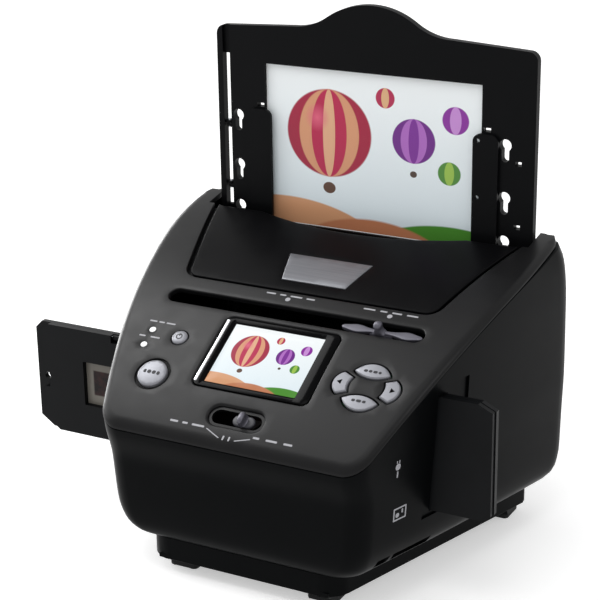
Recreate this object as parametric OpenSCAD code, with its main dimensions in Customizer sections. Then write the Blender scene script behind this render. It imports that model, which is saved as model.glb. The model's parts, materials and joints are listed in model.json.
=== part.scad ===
// Desktop scanner for film strips and photo prints.
// The origin is on the desk. X = 0 is the middle of the casing, and Y = 0 is the film plane.
// -Y is the front with the sloping panel, +Y the back, and +Z is up.

/* [Film path] */
// Height of the optical axis above the desk
axis_z = 75; // [73:0.5:76]
// Length of the film holder
holder_len = 263.5; // [250:0.5:280]
// Height of the film holder
holder_h = 60; // [58:0.5:61]
// Thickness of the closed film holder
holder_t = 6; // [5.4:0.1:6.6]
// How far the holder's right end stands from the middle of the casing
holder_right = 115; // [104:1:124]
// Width of one film frame
frame_w = 36; // [34:0.5:36.5]
// Height of one film frame
frame_h = 24; // [22:0.5:25]
// Distance from one film frame to the next
frame_pitch = 38; // [37.5:0.1:38.5]
// Distance from the holder's left end to its first window
holder_margin = 31.5; // [28:0.5:36]
// Number of film frames in the holder
frame_count = 5; // [4:1:5]
// Free space around the film holder in its channel
channel_gap = 0.5; // [0.4:0.1:0.8]
// Wall of the film channel
channel_wall = 2; // [1.6:0.1:2.2]

/* [Casing] */
// Radius of the curved top surface
top_r = 350; // [345:1:360]
// Depth position of the centre of the top surface's curve
top_cy = 158.5; // [156:0.5:161]
// Height of the highest point of the top surface's curve
top_crest = 158.8; // [158:0.1:160]
// Wall of the casing's shells
wall = 2.5; // [2:0.1:2.8]
// Thickness of the front panel
panel_t = 3; // [2.6:0.1:3.2]
// Front end of the casing, before the film plane
body_front = 57; // [56:0.5:58]
// Back end of the casing, behind the film plane
body_rear = 116; // [115.5:0.5:119]
// Half of the casing's width at the front station
half_front = 77; // [76:0.5:79]
// Half of the casing's width at the film plane
half_mid = 91; // [90:0.5:93]
// Half of the casing's width at the rear station
half_rear = 110.5; // [110:0.5:112]
// Radius of the casing's front corners seen from above
corner_front = 13; // [11:0.5:15]
// Radius of the casing's rear corners seen from above
corner_rear = 12; // [10:0.5:14]
// Distance from the back end to the seam of the rear cover
seam_inset = 7.4; // [6.8:0.1:7.6]
// Depth of the shallow recess around each film slot
recess_depth = 1.2; // [0.8:0.1:1.4]
// Gap between shells that lie on each other
seat_gap = 0.1; // [0.05:0.01:0.15]

/* [Top cover] */
// Gap of the groove around the top cover
groove_gap = 1; // [0.8:0.1:1.4]
// How far the top cover lies below the front panel
cover_drop = 0.5; // [0.3:0.1:0.7]
// Depth position of the top cover's front edge
cover_front = 28.5; // [28:0.5:31]
// Half-width of the top cover at its front edge
cover_half_front = 71; // [68:0.5:72]
// Half-width of the top cover at the tray slot
cover_half_rear = 88; // [86:0.5:89]
// Distance from the tray's middle plane to the cover's lip at the tray slot
lip_inset = 12.3; // [11.4:0.1:13.2]
// Depth of the finger scoop in the lip
scoop_depth = 10; // [8:0.5:11]
// Half-width of the finger scoop
scoop_half = 60; // [55:1:64]

/* [Photo tray] */
// Half-width of the photo tray
tray_half = 92; // [90:0.5:92.4]
// Height of the tray's shoulders, beside the hump, above its bottom edge
tray_shoulder = 114.8; // [111:0.2:116]
// Height of the tray's top above its bottom edge
tray_top = 129; // [125:0.5:131]
// Radius of the hump on top of the tray
hump_r = 44; // [41:1:48]
// Thickness of the tray's front frame
tray_front_t = 1.9; // [1.6:0.1:2]
// Thickness of the tray's back plate
tray_back_t = 2; // [1.6:0.1:2.2]
// Distance from the rear cover's seam to the tray's middle plane
tray_inset = 4.3; // [4.1:0.1:4.6]
// Width of the photo print
print_w = 127; // [120:1:128]
// Height of the photo print
print_h = 89; // [85:1:90]
// Height of the print's lower edge above the tray's bottom edge
print_foot = 5.2; // [4.8:0.2:6]
// How far the tray stands above its scanning position
tray_lift = 112; // [104:0.2:112.6]
// Height of the tray's bottom edge in the scanning position
tray_floor = 25.4; // [24.8:0.2:27]

/* [Panel controls] */
// Width of the lit area of the display
lcd_w = 50; // [46:0.5:51]
// Height of the lit area of the display
lcd_h = 37.6; // [35:0.2:38.4]
// Depth position of the display's centre
lcd_y = -14; // [-15:0.5:-13.5]
// Length of the wide slot of the backlight lever
slot_len = 143.5; // [138:0.5:146]
// Width of the wide slot of the backlight lever
slot_w = 9.5; // [8.5:0.1:10.5]
// Depth position of the wide slot
slot_y = 13.5; // [13:0.1:14]
// Travel of the backlight lever
lever_travel = 56.6; // [54:0.2:57]
// Sideways position of the lever at the print position
lever_x = 49.3; // [48.5:0.1:50]
// Radius of the scan button
scan_r = 7.8; // [7:0.1:8]
// Radius of the power button
power_r = 4.2; // [3.8:0.1:4.6]
// Half-width of the oval of navigation buttons
nav_a = 17.4; // [17:0.1:17.8]
// Half-height of the oval of navigation buttons
nav_b = 14; // [13:0.1:14.4]
// Half-width of the upper and lower navigation buttons
lens_half = 9.3; // [8:0.1:9.6]
// Gap around each button
button_gap = 0.3; // [0.2:0.05:0.4]
// Travel of each button
button_travel = 1; // [0.6:0.1:1.2]
// Length of the mode switch's recess
mode_len = 30; // [29:0.5:31]
// Width of the mode switch's recess
mode_w = 11; // [10:0.5:11.5]
// Travel of the mode switch
mode_travel = 10; // [9.4:0.1:10]

/* [Optics] */
// Radius of the camera's lens barrel
barrel_r = 8; // [7:0.1:8]
// Radius of the close-up lens
closeup_r = 4.2; // [3.8:0.1:4.3]
// Radius of the backlight's guide rods
rod_r = 2; // [1.6:0.1:2.2]
// Running clearance of the rods in the carriage
rod_gap = 0.06; // [0.04:0.01:0.09]
// Width of the backlight carriage
light_w = 42; // [38:0.5:42]
// Height of the backlight carriage
light_h = 36; // [32:0.5:36]
// Depth of the backlight carriage
light_d = 9; // [8:0.1:9.4]

/* [Hidden] */
$fn = 64;
// A little more, so that cuts pass through their faces
eps = 0.1;

top_cz = top_crest - top_r;
front_y = -body_front;
// Depth stations where the casing's half-widths are given
station_front = front_y + 4;
station_rear = body_rear - 11;
seam_y = body_rear - seam_inset;
tray_y = seam_y - tray_inset;
lip_y = tray_y - lip_inset;
// Larger than the whole object, for boxes that only cut on one side
far = 3 * half_rear;
base_top = 20;
base_bottom = 8;
pad_t = 3;

// Sections of the casing: height, how far the front and the rear stand in, how much narrower each
// of the three stations is, and how much larger the rear corners' radius is
low_sections = [
    [base_top, 13.5, 9, 28, 26, 13.5, 0],
    [base_top + 3, 9.5, 5, 17.5, 15, 5.5, 0],
    [base_top + 9, 7, 1.5, 12.5, 9.5, 2.2, 0],
    [base_top + 18, 6, 0, 9.5, 7, 1.2, 0],
    [base_top + 42, 5, 0, 7.5, 5, 0.6, 0]
];
high_sections = [
    [base_top + 42, 5, 0, 7.5, 5, 0.6, 0],
    [base_top + 62, 0, 0, 5.5, 3.5, 0, 0],
    [base_top + 103, 0, 0, 2, 1.2, 0, 1],
    [base_top + 122, 0, 0, 1, 0.6, 1.2, 2],
    [base_top + 140, 0, 0, 0, 0, 8, 6]
];

// Half-width at depth y of the curve through the widths at the three stations
function side_at(y, f, m, r) =
    let (
        s1 = (m - f) / -station_front,
        s2 = (r - m) / station_rear,
        c = (s2 - s1) / (station_rear - station_front)
    )
    f + s1 * (y - station_front) + c * (y - station_front) * y;

// Right half of a casing section, from front to rear, with round corners
function half_outline(s, in) =
    let (
        f = half_front - s[3] - in,
        m = half_mid - s[4] - in,
        r = half_rear - s[5] - in,
        y0 = front_y + s[1] + in,
        y1 = body_rear - s[2] - in,
        rf = corner_front - in,
        rr = corner_rear + s[6] - in,
        lean = atan(side_at(y0 + rf + 1, f, m, r) - side_at(y0 + rf, f, m, r)),
        cf = side_at(y0 + rf, f, m, r) - rf / cos(lean),
        cr = side_at(y1 - rr, f, m, r) - rr
    )
    concat(
        [for (i = [0 : 7]) let (a = -90 + i * (90 - lean) / 7) [cf + rf * cos(a), y0 + rf + rf * sin(a)]],
        [for (i = [1 : 6]) let (y = y0 + rf + i * (y1 - rr - y0 - rf) / 7) [side_at(y, f, m, r), y]],
        [for (i = [0 : 6]) let (a = i * 90 / 6) [cr + rr * cos(a), y1 - rr + rr * sin(a)]]
    );

function outline(s, in) =
    let (h = half_outline(s, in), n = len(h))
    concat(h, [for (i = [1 : n]) [-h[n - i][0], h[n - i][1]]]);

// Smooth body through horizontal sections
module loft(sections, in) {
    hull()
        for (s = sections)
            translate([0, 0, s[0] - eps / 2])
                linear_extrude(eps / 10)
                    polygon(outline(s, in));
}

module casing_solid(in) {
    loft(low_sections, in);
    loft(high_sections, in);
}

// Everything below the curved top surface, lowered by depth
module under_top(depth) {
    translate([0, top_cy, top_cz])
        rotate([0, 90, 0])
            cylinder(r = top_r - depth, h = far, center = true, $fn = 720);
}

function top_z(y) = top_cz + sqrt(top_r * top_r - pow(y - top_cy, 2));
function top_lean(y) = asin((top_cy - y) / top_r);

// Places children on the top surface: local Z is the surface's normal, local Y goes up the slope
module on_top(x, y) {
    translate([x, y, top_z(y)])
        rotate([top_lean(y), 0, 0])
            children();
}

module mirror_both() {
    children();
    mirror([1, 0, 0]) children();
}

// Box between two corners
module box(a, b) {
    translate(a) cube(b - a);
}

module round_rect(w, h, r) {
    for (sx = [-1, 1])
        for (sy = [-1, 1])
            translate([sx * (w / 2 - r), sy * (h / 2 - r)]) circle(r);
    square([w - 2 * r, h], center = true);
    square([w, h - 2 * r], center = true);
}

module round_slab(w, h, r, z0, z1) {
    translate([0, 0, z0]) linear_extrude(z1 - z0) round_rect(w, h, r);
}

// Slot with round ends, its length along X
module stadium(len, w, z0, z1) {
    translate([0, 0, z0])
        linear_extrude(z1 - z0) {
            square([len - w, w], center = true);
            for (s = [-1, 1])
                translate([s * (len - w) / 2, 0]) circle(w / 2);
        }
}

// Cylinder along Y from y0 to y1
module rod_y(x, z, r, y0, y1) {
    translate([x, y0, z]) rotate([-90, 0, 0]) cylinder(r = r, h = y1 - y0);
}

// Cylinder along X from x0 to x1
module rod_x(y, z, r, x0, x1) {
    translate([x0, y, z]) rotate([0, 90, 0]) cylinder(r = r, h = x1 - x0);
}

module rod_z(x, y, r, z0, z1) {
    translate([x, y, z0]) cylinder(r = r, h = z1 - z0);
}

// ---------------------------------------------------------------- casing

channel_y = holder_t / 2 + channel_gap;
channel_z0 = axis_z - holder_h / 2 - channel_gap;
channel_z1 = axis_z + holder_h / 2 + channel_gap;
block_y0 = -channel_y - channel_wall;
block_z0 = channel_z0 - channel_wall;
// The channel's roof is thin, because the panel's boards lie close above it
block_z1 = channel_z1 + 0.7 * channel_wall;
// Half-length of the film channel inside the casing
channel_half = 79.4;
recess_y0 = -10;
recess_y1 = 18;
recess_rise = 4.5;

screw_r = 1.2;
screw_gap = 0.06;
boss_r = 3.2;
base_screw_xy = [[24, front_y + 21.5], [66, body_rear - 32]];
rear_screw_xz = [[98.6, 44], [98.6, 100]];
rear_boss_y0 = 92;

// Both sockets sit on the main board and open low in the right side, where it curves under
main_board_z = 24;
board_t = 1.6;
usb_y = -31.4;
usb_w = 7.6;
usb_h = 3.4;
card_y = -12;
card_w = 25;
card_t = 3.2;
socket_z = main_board_z + board_t + 0.1;
socket_gap = 0.4;

// Pillars and ribs that stay inside the housing's hollow
module housing_ribs() {
    mirror_both() {
        for (p = base_screw_xy)
            rod_z(p[0], p[1], boss_r, base_top - eps, base_top + 13);
        box([base_screw_xy[0][0] - 1, front_y, base_top - eps], [base_screw_xy[0][0] + 1, base_screw_xy[0][1], base_top + 13]);
        box([base_screw_xy[1][0], base_screw_xy[1][1] - 1, base_top + 2], [half_rear, base_screw_xy[1][1] + 1, base_top + 13]);
        for (p = rear_screw_xz) {
            rod_y(p[0], p[1], boss_r, rear_boss_y0, seam_y);
            box([p[0], rear_boss_y0, p[1] - 1], [half_rear, seam_y, p[1] + 1]);
        }
    }
}

// Openings and screw holes of the housing
module housing_cuts() {
    mirror_both() {
        box([60, -channel_y, channel_z0], [half_rear, channel_y, channel_z1]);
        for (p = base_screw_xy)
            rod_z(p[0], p[1], screw_r + screw_gap, base_top - 1, base_top + 12);
        for (p = rear_screw_xz)
            rod_y(p[0], p[1], screw_r + screw_gap, seam_y - 12, seam_y + eps);
    }
    for (s = [[usb_y, usb_w, usb_h], [card_y, card_w, card_t]])
        box([54, s[0] - s[1] / 2 - socket_gap, socket_z - socket_gap],
            [half_rear, s[0] + s[1] / 2 + socket_gap, socket_z + s[2] + socket_gap]);
    // shallow recess around each film slot
    difference() {
        mirror_both() box([60, recess_y0, channel_z0 - 2], [half_rear, recess_y1, channel_z1 + recess_rise]);
        casing_solid(recess_depth);
    }
}

module main_housing() {
    color([0.05, 0.05, 0.055])
        difference() {
            intersection() {
                casing_solid(0);
                under_top(panel_t + seat_gap);
                box([-far, -far, 0], [far, seam_y - seat_gap / 2, far]);
            }
            difference() {
                union() {
                    casing_solid(wall);
                    box([-half_front + 32, -35, base_top - 1], [half_front - 32, 60, base_top + 1]);
                }
                housing_ribs();
            }
            housing_cuts();
        }
}

rear_round = 10;
vent_pairs = 6;
vent_pitch = 9;
vent_w = 2.4;
vent_h = 18;
vent_z = 103;
rear_notch_z = 143.5;
module rear_round_block(in) {
    y = body_rear - rear_round;
    z = top_z(y) - rear_round;
    box([-far, -far, -10], [far, body_rear - in, z]);
    box([-far, -far, -10], [far, y, far]);
    rod_x(y, z, rear_round - in, -far, far);
}

module rear_cover() {
    color([0.05, 0.05, 0.055])
        difference() {
            intersection() {
                casing_solid(0);
                under_top(0);
                rear_round_block(0);
                box([-far, seam_y + seat_gap / 2, 0], [far, far, far]);
            }
            difference() {
                intersection() {
                    casing_solid(wall);
                    under_top(wall);
                    rear_round_block(wall);
                }
                mirror_both()
                    for (p = rear_screw_xz)
                        rod_y(p[0], p[1], boss_r, seam_y, body_rear);
            }
            mirror_both()
                for (p = rear_screw_xz) {
                    rod_y(p[0], p[1], screw_r + screw_gap, seam_y - eps, body_rear + eps);
                    rod_y(p[0], p[1], head_r + screw_gap, body_rear - head_t, body_rear + eps);
                }
            // notch behind the tray
            box([-slot_half, seam_y - eps, rear_notch_z], [slot_half, far, far]);
            // row of cooling slots
            for (i = [-vent_pairs : vent_pairs])
                box([i * vent_pitch - vent_w / 2, body_rear - wall - 1, vent_z],
                    [i * vent_pitch + vent_w / 2, body_rear + 1, vent_z + vent_h]);
        }
}

cover_corner = 7;
scoop_r = (scoop_half * scoop_half + scoop_depth * scoop_depth) / (2 * scoop_depth);
cover_lean = atan((cover_half_rear - cover_half_front) / (lip_y - cover_front));

// Right side of the top cover's plan outline, grown by g
function cover_side(g) =
    let (x0 = cover_half_front - cover_corner, r = cover_corner + g, n = 8)
    concat(
        [for (i = [0 : n]) let (a = -90 + i * (90 - cover_lean) / n) [x0 + r * cos(a), cover_front + cover_corner + r * sin(a)]],
        [[cover_half_rear + g / cos(cover_lean), lip_y]]
    );

// Plan outline of the top cover, grown by g: its rear edge is scooped where g is 0 or less
module cover_outline(g) {
    right = cover_side(g);
    n = len(right);
    m = 24;
    scoop = [
        for (i = [0 : m])
            let (x = scoop_half - i * 2 * scoop_half / m)
            [x, lip_y - scoop_depth + scoop_r - sqrt(scoop_r * scoop_r - x * x)]
    ];
    polygon(concat(right, g > 0 ? [] : scoop, [for (i = [1 : n]) [-right[n - i][0], right[n - i][1]]]));
}

// Depth of the ledge that carries the top cover
ledge_depth = 2.2;
ledge_w = 3;
slot_half = tray_half + 1.6;
slot_rear = seam_y;

// Circle through (+-half, 0) and (0, sag)
module arc_disc(half, sag, g) {
    r = (half * half + sag * sag) / (2 * abs(sag));
    translate([0, sag > 0 ? sag - r : sag + r]) circle(r + g, $fn = 120);
}

// The shape of a navigation button: dir is its direction, g grows it
module nav_petal(dir, g) {
    tip_y = nav_b * 0.6;
    lens_inner = nav_b * 0.38;
    hub_r = nav_a * 0.57;
    outer_r = nav_a * 0.42;
    // the ends of the side buttons run along these slanting lines
    edge = 0.55 + g * 1.1;
    spread = 11;
    if (dir % 180 == 0)
        rotate(dir)
            intersection() {
                difference() {
                    translate([nav_a - outer_r, 0]) circle(outer_r + g);
                    translate([-0.4, 0]) circle(hub_r - g);
                }
                polygon([[0, -edge], [25, -edge - spread], [25, edge + spread], [0, edge]]);
            }
    else
        rotate(dir - 90)
            translate([0, tip_y])
                intersection() {
                    arc_disc(lens_half, nav_b - tip_y, g);
                    arc_disc(lens_half, lens_inner - tip_y, g);
                }
}

nav_x = 56.5;
nav_y = -19;
scan_x = -54.6;
scan_y = -32;
power_x = -51;
power_y = -11.3;
light_x = -68;
light_ys = [-9.6, -18.3];
light_pipe_r = 1.7;
mode_y = -44.7;

lcd_open_w = lcd_w + 14.5;
lcd_open_h = lcd_h + 7.8;
board_depth = 7.6;
left_board_xy = [-58.5, -20];
left_board_bosses = [[-12.6, 15.6], [13.4, 1]];
right_board_bosses = [[-15.9, 14.9], [15.9, 14.9], [-15.9, -14.9], [15.9, -14.9]];

module panel_holes() {
    on_top(0, lcd_y) round_slab(lcd_open_w, lcd_open_h, 4, -9, 3);
    on_top(0, slot_y) stadium(slot_len, slot_w, -12, 3);
    on_top(0, mode_y) {
        stadium(mode_len, mode_w, -1.2, 3);
        stadium(mode_len - 4, mode_w - 5, -9, 3);
    }
    on_top(scan_x, scan_y) {
        translate([0, 0, -9]) cylinder(r = scan_r + button_gap, h = 12);
        translate([0, 0, -0.8]) cylinder(r = scan_r + 1.6, h = 4);
    }
    on_top(power_x, power_y) translate([0, 0, -9]) cylinder(r = power_r + button_gap, h = 12);
    for (y = light_ys)
        on_top(light_x, y) translate([0, 0, -9]) cylinder(r = light_pipe_r + screw_gap, h = 12);
    on_top(nav_x, nav_y) {
        for (d = [0, 90, 180, 270])
            translate([0, 0, -9]) linear_extrude(12) nav_petal(d, button_gap);
    }
}

module front_panel() {
    color([0.09, 0.09, 0.1]) {
        difference() {
            intersection() {
                loft(high_sections, 0);
                under_top(0);
                box([-far, -far, 0], [far, seam_y - seat_gap / 2, far]);
            }
            difference() {
                under_top(panel_t);
                // ledge for the top cover
                difference() {
                    intersection() {
                        linear_extrude(200) cover_outline(ledge_w);
                        under_top(ledge_depth);
                    }
                    under_top(ledge_depth + 2);
                }
            }
            // slot for the tray, and the free space under the top cover's lip
            box([-slot_half, lip_y, 60], [slot_half, slot_rear + 1, 200]);
            box([-cover_half_rear + ledge_w + 1, lip_y - scoop_depth - 6, 60], [cover_half_rear - ledge_w - 1, lip_y + 1, 200]);
            difference() {
                linear_extrude(200) cover_outline(groove_gap);
                under_top(ledge_depth);
            }
            linear_extrude(200) cover_outline(-ledge_w);
            panel_holes();
        }
        // bosses for the button boards
        on_top(left_board_xy[0], left_board_xy[1])
            for (p = left_board_bosses)
                translate([p[0], p[1], -board_depth]) cylinder(r = 2, h = board_depth - panel_t + 0.6);
        on_top(nav_x, nav_y)
            for (p = right_board_bosses)
                translate([p[0], p[1], -board_depth]) cylinder(r = 1.8, h = board_depth - panel_t + 0.6);
    }
}

plate_y = 45.8;
plate_top = 47.4;
plate_bottom = 36.2;
plate_h = 21.4;
plate_t = 1;
plate_sink = 0.5;

module plate_outline(g) {
    polygon([
        [-plate_bottom / 2 - g, -plate_h / 2 - g], [plate_bottom / 2 + g, -plate_h / 2 - g],
        [plate_top / 2 + g, plate_h / 2 + g], [-plate_top / 2 - g, plate_h / 2 + g]
    ]);
}

module top_cover() {
    lip_t = 1.8;
    color([0.08, 0.08, 0.09])
        difference() {
            union() {
                intersection() {
                    linear_extrude(200) cover_outline(0);
                    difference() {
                        under_top(cover_drop);
                        under_top(ledge_depth - seat_gap);
                    }
                }
                // lip that turns down into the tray slot
                intersection() {
                    linear_extrude(200)
                        difference() {
                            intersection() {
                                cover_outline(0);
                                translate([-cover_half_rear + ledge_w + 1, 0])
                                    square([2 * (cover_half_rear - ledge_w - 1), 200]);
                            }
                            translate([0, -lip_t]) cover_outline(0);
                        }
                    difference() {
                        under_top(cover_drop);
                        under_top(16);
                    }
                    box([-far, lip_y - scoop_depth - 4, 0], [far, lip_y + 1, far]);
                }
            }
            on_top(0, plate_y) translate([0, 0, -cover_drop - plate_sink]) linear_extrude(5) plate_outline(0.15);
        }
}

module name_plate() {
    color([0.45, 0.46, 0.48])
        on_top(0, plate_y)
            translate([0, 0, -cover_drop - plate_sink + 0.02])
                linear_extrude(plate_t) plate_outline(0);
}

leg_w = 17;
front_leg_x = 31;
rear_leg_x = 71.5;

module leg_front() {
    plinth_y = front_y + low_sections[0][1];
    translate([front_leg_x, 0, 0])
        rotate([90, 0, 90])
            linear_extrude(leg_w)
                polygon([
                    [plinth_y + 8, pad_t], [plinth_y + 25, pad_t], [plinth_y + 25, base_bottom + wall - 0.1],
                    [plinth_y + 0.02, base_bottom + wall - 0.1], [plinth_y + 0.02, base_bottom + 0.2]
                ]);
}

module leg_rear() {
    translate([rear_leg_x, 0, 0])
        rotate([90, 0, 90])
            linear_extrude(leg_w)
                polygon([
                    [body_rear - 29, pad_t], [body_rear - 12.5, pad_t],
                    [body_rear - 13, base_bottom + 4], [body_rear - 31, base_bottom + 4], [body_rear - 31, base_bottom]
                ]);
}

chassis_posts = [[39, -30], [36, 20]];
board_posts = [[28, -22], [36, 54]];
chassis_z = 34;
chassis_t = 2.5;

module base_plate() {
    color([0.05, 0.05, 0.055])
        difference() {
            union() {
                difference() {
                    translate([0, 0, base_bottom])
                        linear_extrude(base_top - base_bottom - seat_gap) polygon(outline(low_sections[0], 0));
                    translate([0, 0, base_bottom + wall])
                        linear_extrude(base_top) polygon(outline(low_sections[0], wall));
                }
                mirror_both() {
                    leg_front();
                    leg_rear();
                    for (p = chassis_posts)
                        rod_z(p[0], p[1], boss_r, base_bottom + 1, chassis_z - seat_gap);
                    for (p = board_posts)
                        rod_z(p[0], p[1], boss_r - 0.6, base_bottom + 1, main_board_z - seat_gap);
                    for (p = base_screw_xy)
                        rod_z(p[0], p[1], boss_r + 1, base_bottom + 1, base_top - 1.5);
                    for (p = base_screw_xy)
                        rod_z(p[0], p[1], boss_r, base_bottom + 1, base_top - seat_gap);
                }
            }
            mirror_both() {
                for (p = base_screw_xy) {
                    rod_z(p[0], p[1], screw_r + screw_gap, 0, base_top + 1);
                    rod_z(p[0], p[1], head_r + screw_gap, 0, base_bottom + head_t);
                }
                for (p = chassis_posts)
                    rod_z(p[0], p[1], screw_r + screw_gap, chassis_z - 12, chassis_z + 1);
            }
            // cooling slots in the floor
            for (i = [-4 : 4])
                box([i * 7 - 1, 30, 0], [i * 7 + 1, 46, base_bottom + wall + 1]);
        }
}

module foot_pad(side, rear) {
    w = leg_w - 1;
    y0 = rear ? body_rear - 28.5 : front_y + low_sections[0][1] + 8.5;
    x0 = (rear ? rear_leg_x : front_leg_x) + 0.5;
    color([0.12, 0.12, 0.12])
        mirror([side < 0 ? 1 : 0, 0, 0])
            translate([x0 + w / 2, y0 + 8, 0])
                round_slab(w, 16, 2.5, 0, pad_t);
}

// ---------------------------------------------------------------- panel controls

bezel_top = 0.8;
bezel_seat = 4.5;
bezel_t = 2;

module lcd_bezel() {
    color([0.03, 0.03, 0.03])
        on_top(0, lcd_y)
            difference() {
                union() {
                    round_slab(lcd_open_w - 2 * button_gap, lcd_open_h - 2 * button_gap, 3.7, -bezel_seat - 1, -bezel_top);
                    round_slab(lcd_open_w + 3.5, lcd_open_h + 3.5, 3.7, -bezel_seat - bezel_t, -bezel_seat);
                }
                round_slab(lcd_w + 1.4, lcd_h + 1.4, 0.6, -9, 3);
            }
}

module lcd_display() {
    top = -bezel_seat - bezel_t - seat_gap;
    color([0.75, 0.85, 0.9])
        on_top(0, lcd_y) {
            round_slab(lcd_w + 9, lcd_h + 8, 1, top - 2.4, top);
            round_slab(lcd_w + 1, lcd_h + 1, 0.5, top - 1, -bezel_top - 0.6);
        }
}

// A button's common lower part: flange below the panel and a stem down to its switch
flange_depth = panel_t + 0.45;
flange_t = 0.9;
stem_end = board_depth - 0.8 - button_travel;
stem_r = 1.5;

module button_stem(x, y) {
    translate([x, y, -stem_end]) cylinder(r = stem_r, h = stem_end - flange_depth);
}

module round_button(x, y, r, rise) {
    on_top(x, y) {
        translate([0, 0, -flange_depth - 0.2]) cylinder(r = r, h = flange_depth + 0.2 + rise);
        translate([0, 0, -flange_depth - flange_t]) cylinder(r = r + 1.1, h = flange_t);
        button_stem(0, 0);
    }
}

module scan_button() {
    color([0.82, 0.83, 0.84]) round_button(scan_x, scan_y, scan_r, 1.1);
}

module power_button() {
    color([0.82, 0.83, 0.84]) round_button(power_x, power_y, power_r, 0.9);
}

function nav_centre(dir) = [nav_a * 0.77 * cos(dir), nav_b * 0.68 * sin(dir)];

module nav_button(dir) {
    c = nav_centre(dir);
    color([0.82, 0.83, 0.84])
        on_top(nav_x, nav_y) {
            translate([0, 0, -flange_depth - flange_t])
                linear_extrude(flange_depth + flange_t + 0.6) nav_petal(dir, 0);
            // two snap feet below the panel
            for (s = [-1, 1])
                translate([c[0] + s * 3.6 * abs(sin(dir)), c[1] + s * 3 * abs(cos(dir)), -flange_depth - flange_t - 0.8])
                    cylinder(r = 0.9, h = 1);
            button_stem(c[0], c[1]);
        }
}

module status_light_pipes() {
    color([0.85, 0.9, 0.95])
        for (y = light_ys)
            on_top(light_x, y)
                translate([0, 0, -board_depth + 0.6]) cylinder(r = light_pipe_r, h = board_depth - 0.4);
}

knob_len = mode_len - 1 - mode_travel;
mode_rest = mode_travel / 2;
link_z = axis_z + barrel_r + 2.3;
link_t = 2.6;
slider_y0 = -33.5;
slider_t = 2.4;
link_y0 = mode_y + 2.4;

module mode_switch() {
    color([0.82, 0.83, 0.84]) {
        on_top(mode_rest, mode_y) {
            stadium(knob_len, mode_w - 2.4, -1, 0.2);
            translate([-2, 0, 0]) round_slab(6.5, mode_w - 2.4, 2, -0.5, 3.2);
        }
        // slanting stem down to the slider's arm
        difference() {
            on_top(mode_rest, mode_y) translate([-2.4, -1.8, -16]) cube([4.8, 3.6, 15.4]);
            box([-20, -90, 0], [20, 0, link_z + link_t + 0.02]);
        }
    }
}

lever_y0 = slot_y - 1.5;
lever_y1 = slot_y + 1.5;

module backlight_lever() {
    color([0.82, 0.83, 0.84]) {
        on_top(lever_x, slot_y) {
            round_slab(43, 5.6, 2.2, -1.6, -0.2);
            round_slab(7, 8, 2.2, -1.5, 5);
        }
        box([lever_x - 6, lever_y0, light_top + lug_h + seat_gap], [lever_x + 6, lever_y1, top_z(slot_y) - 1.2]);
    }
}

module left_button_board() {
    color([0.1, 0.35, 0.2])
        on_top(left_board_xy[0], left_board_xy[1]) {
            translate([0, 0, -board_depth - board_t - seat_gap])
                linear_extrude(board_t)
                    polygon([[-7.5, -18], [16.5, -18], [16.5, 18], [-15, 18], [-15, 0]]);
        }
    color([0.1, 0.1, 0.1]) {
        on_top(scan_x, scan_y) switch_on_board(left_board_drop(scan_y));
        on_top(power_x, power_y) switch_on_board(left_board_drop(power_y));
    }
}

// How far the left board's top lies below the curved surface at depth y
function left_board_drop(y) =
    let (d = (y - left_board_xy[1]) / cos(top_lean(left_board_xy[1])))
    board_depth + seat_gap - d * d / (2 * top_r);

module switch_on_board(drop) {
    translate([-2, -2, -drop - 0.4]) cube([4, 4, 0.9]);
}

module right_button_board() {
    color([0.1, 0.35, 0.2])
        on_top(nav_x, nav_y)
            translate([-18, -17, -board_depth - board_t - seat_gap]) cube([36, 34, board_t]);
    color([0.1, 0.1, 0.1])
        on_top(nav_x, nav_y)
            for (d = [0, 90, 180, 270])
                translate(concat(nav_centre(d), 0)) switch_on_board(board_depth + seat_gap);
}

// ---------------------------------------------------------------- electronics

module main_board() {
    color([0.1, 0.35, 0.2])
        difference() {
            translate([0, 0, main_board_z])
                linear_extrude(board_t)
                    polygon([
                        [-board_half + 10, board_front], [board_half + 0.6, board_front],
                        [board_half + 0.6, usb_y - usb_w / 2], [undercut_x(usb_y) - 9, usb_y - usb_w / 2],
                        [undercut_x(card_y - card_w / 2) - 6, card_y - card_w / 2],
                        [undercut_x(card_y + card_w / 2) - 7, card_y + card_w / 2],
                        [board_half, card_y + card_w / 2], [board_half, board_rear],
                        [-board_half, board_rear], [-board_half, board_front + 6]
                    ]);
            mirror_both()
                rod_z(chassis_posts[1][0], chassis_posts[1][1], boss_r + 0.6, main_board_z - 1, main_board_z + 4);
        }
    color([0.12, 0.12, 0.12])
        box([-14, -8, main_board_z + board_t - 0.01], [10, 16, main_board_z + board_t + 1.6]);
    color([0.15, 0.15, 0.15])
        box([-34, 34, main_board_z + board_t - 0.01], [-14, 48, main_board_z + board_t + 3]);
}

board_half = 44;
board_front = -26;
board_rear = 60;

// Half-width of the casing's outside at depth y, at the height of the sockets' lower edge
function undercut_x(y) = side_at(y, half_front - 15.2, half_mid - 12.5, half_rear - 4);

module socket(y, w, h, depth) {
    x1 = undercut_x(y - w / 2) - 0.8;
    color([0.7, 0.7, 0.72])
        difference() {
            box([x1 - depth, y - w / 2, socket_z], [x1, y + w / 2, socket_z + h]);
            box([x1 - depth + 2, y - w / 2 + 0.5, socket_z + 0.5], [x1 + 1, y + w / 2 - 0.5, socket_z + h - 0.5]);
        }
}

module usb_socket() {
    socket(usb_y, usb_w, usb_h, 9.4);
}

module card_socket() {
    socket(card_y, card_w, card_t, 20);
}

// ---------------------------------------------------------------- optics

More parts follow.
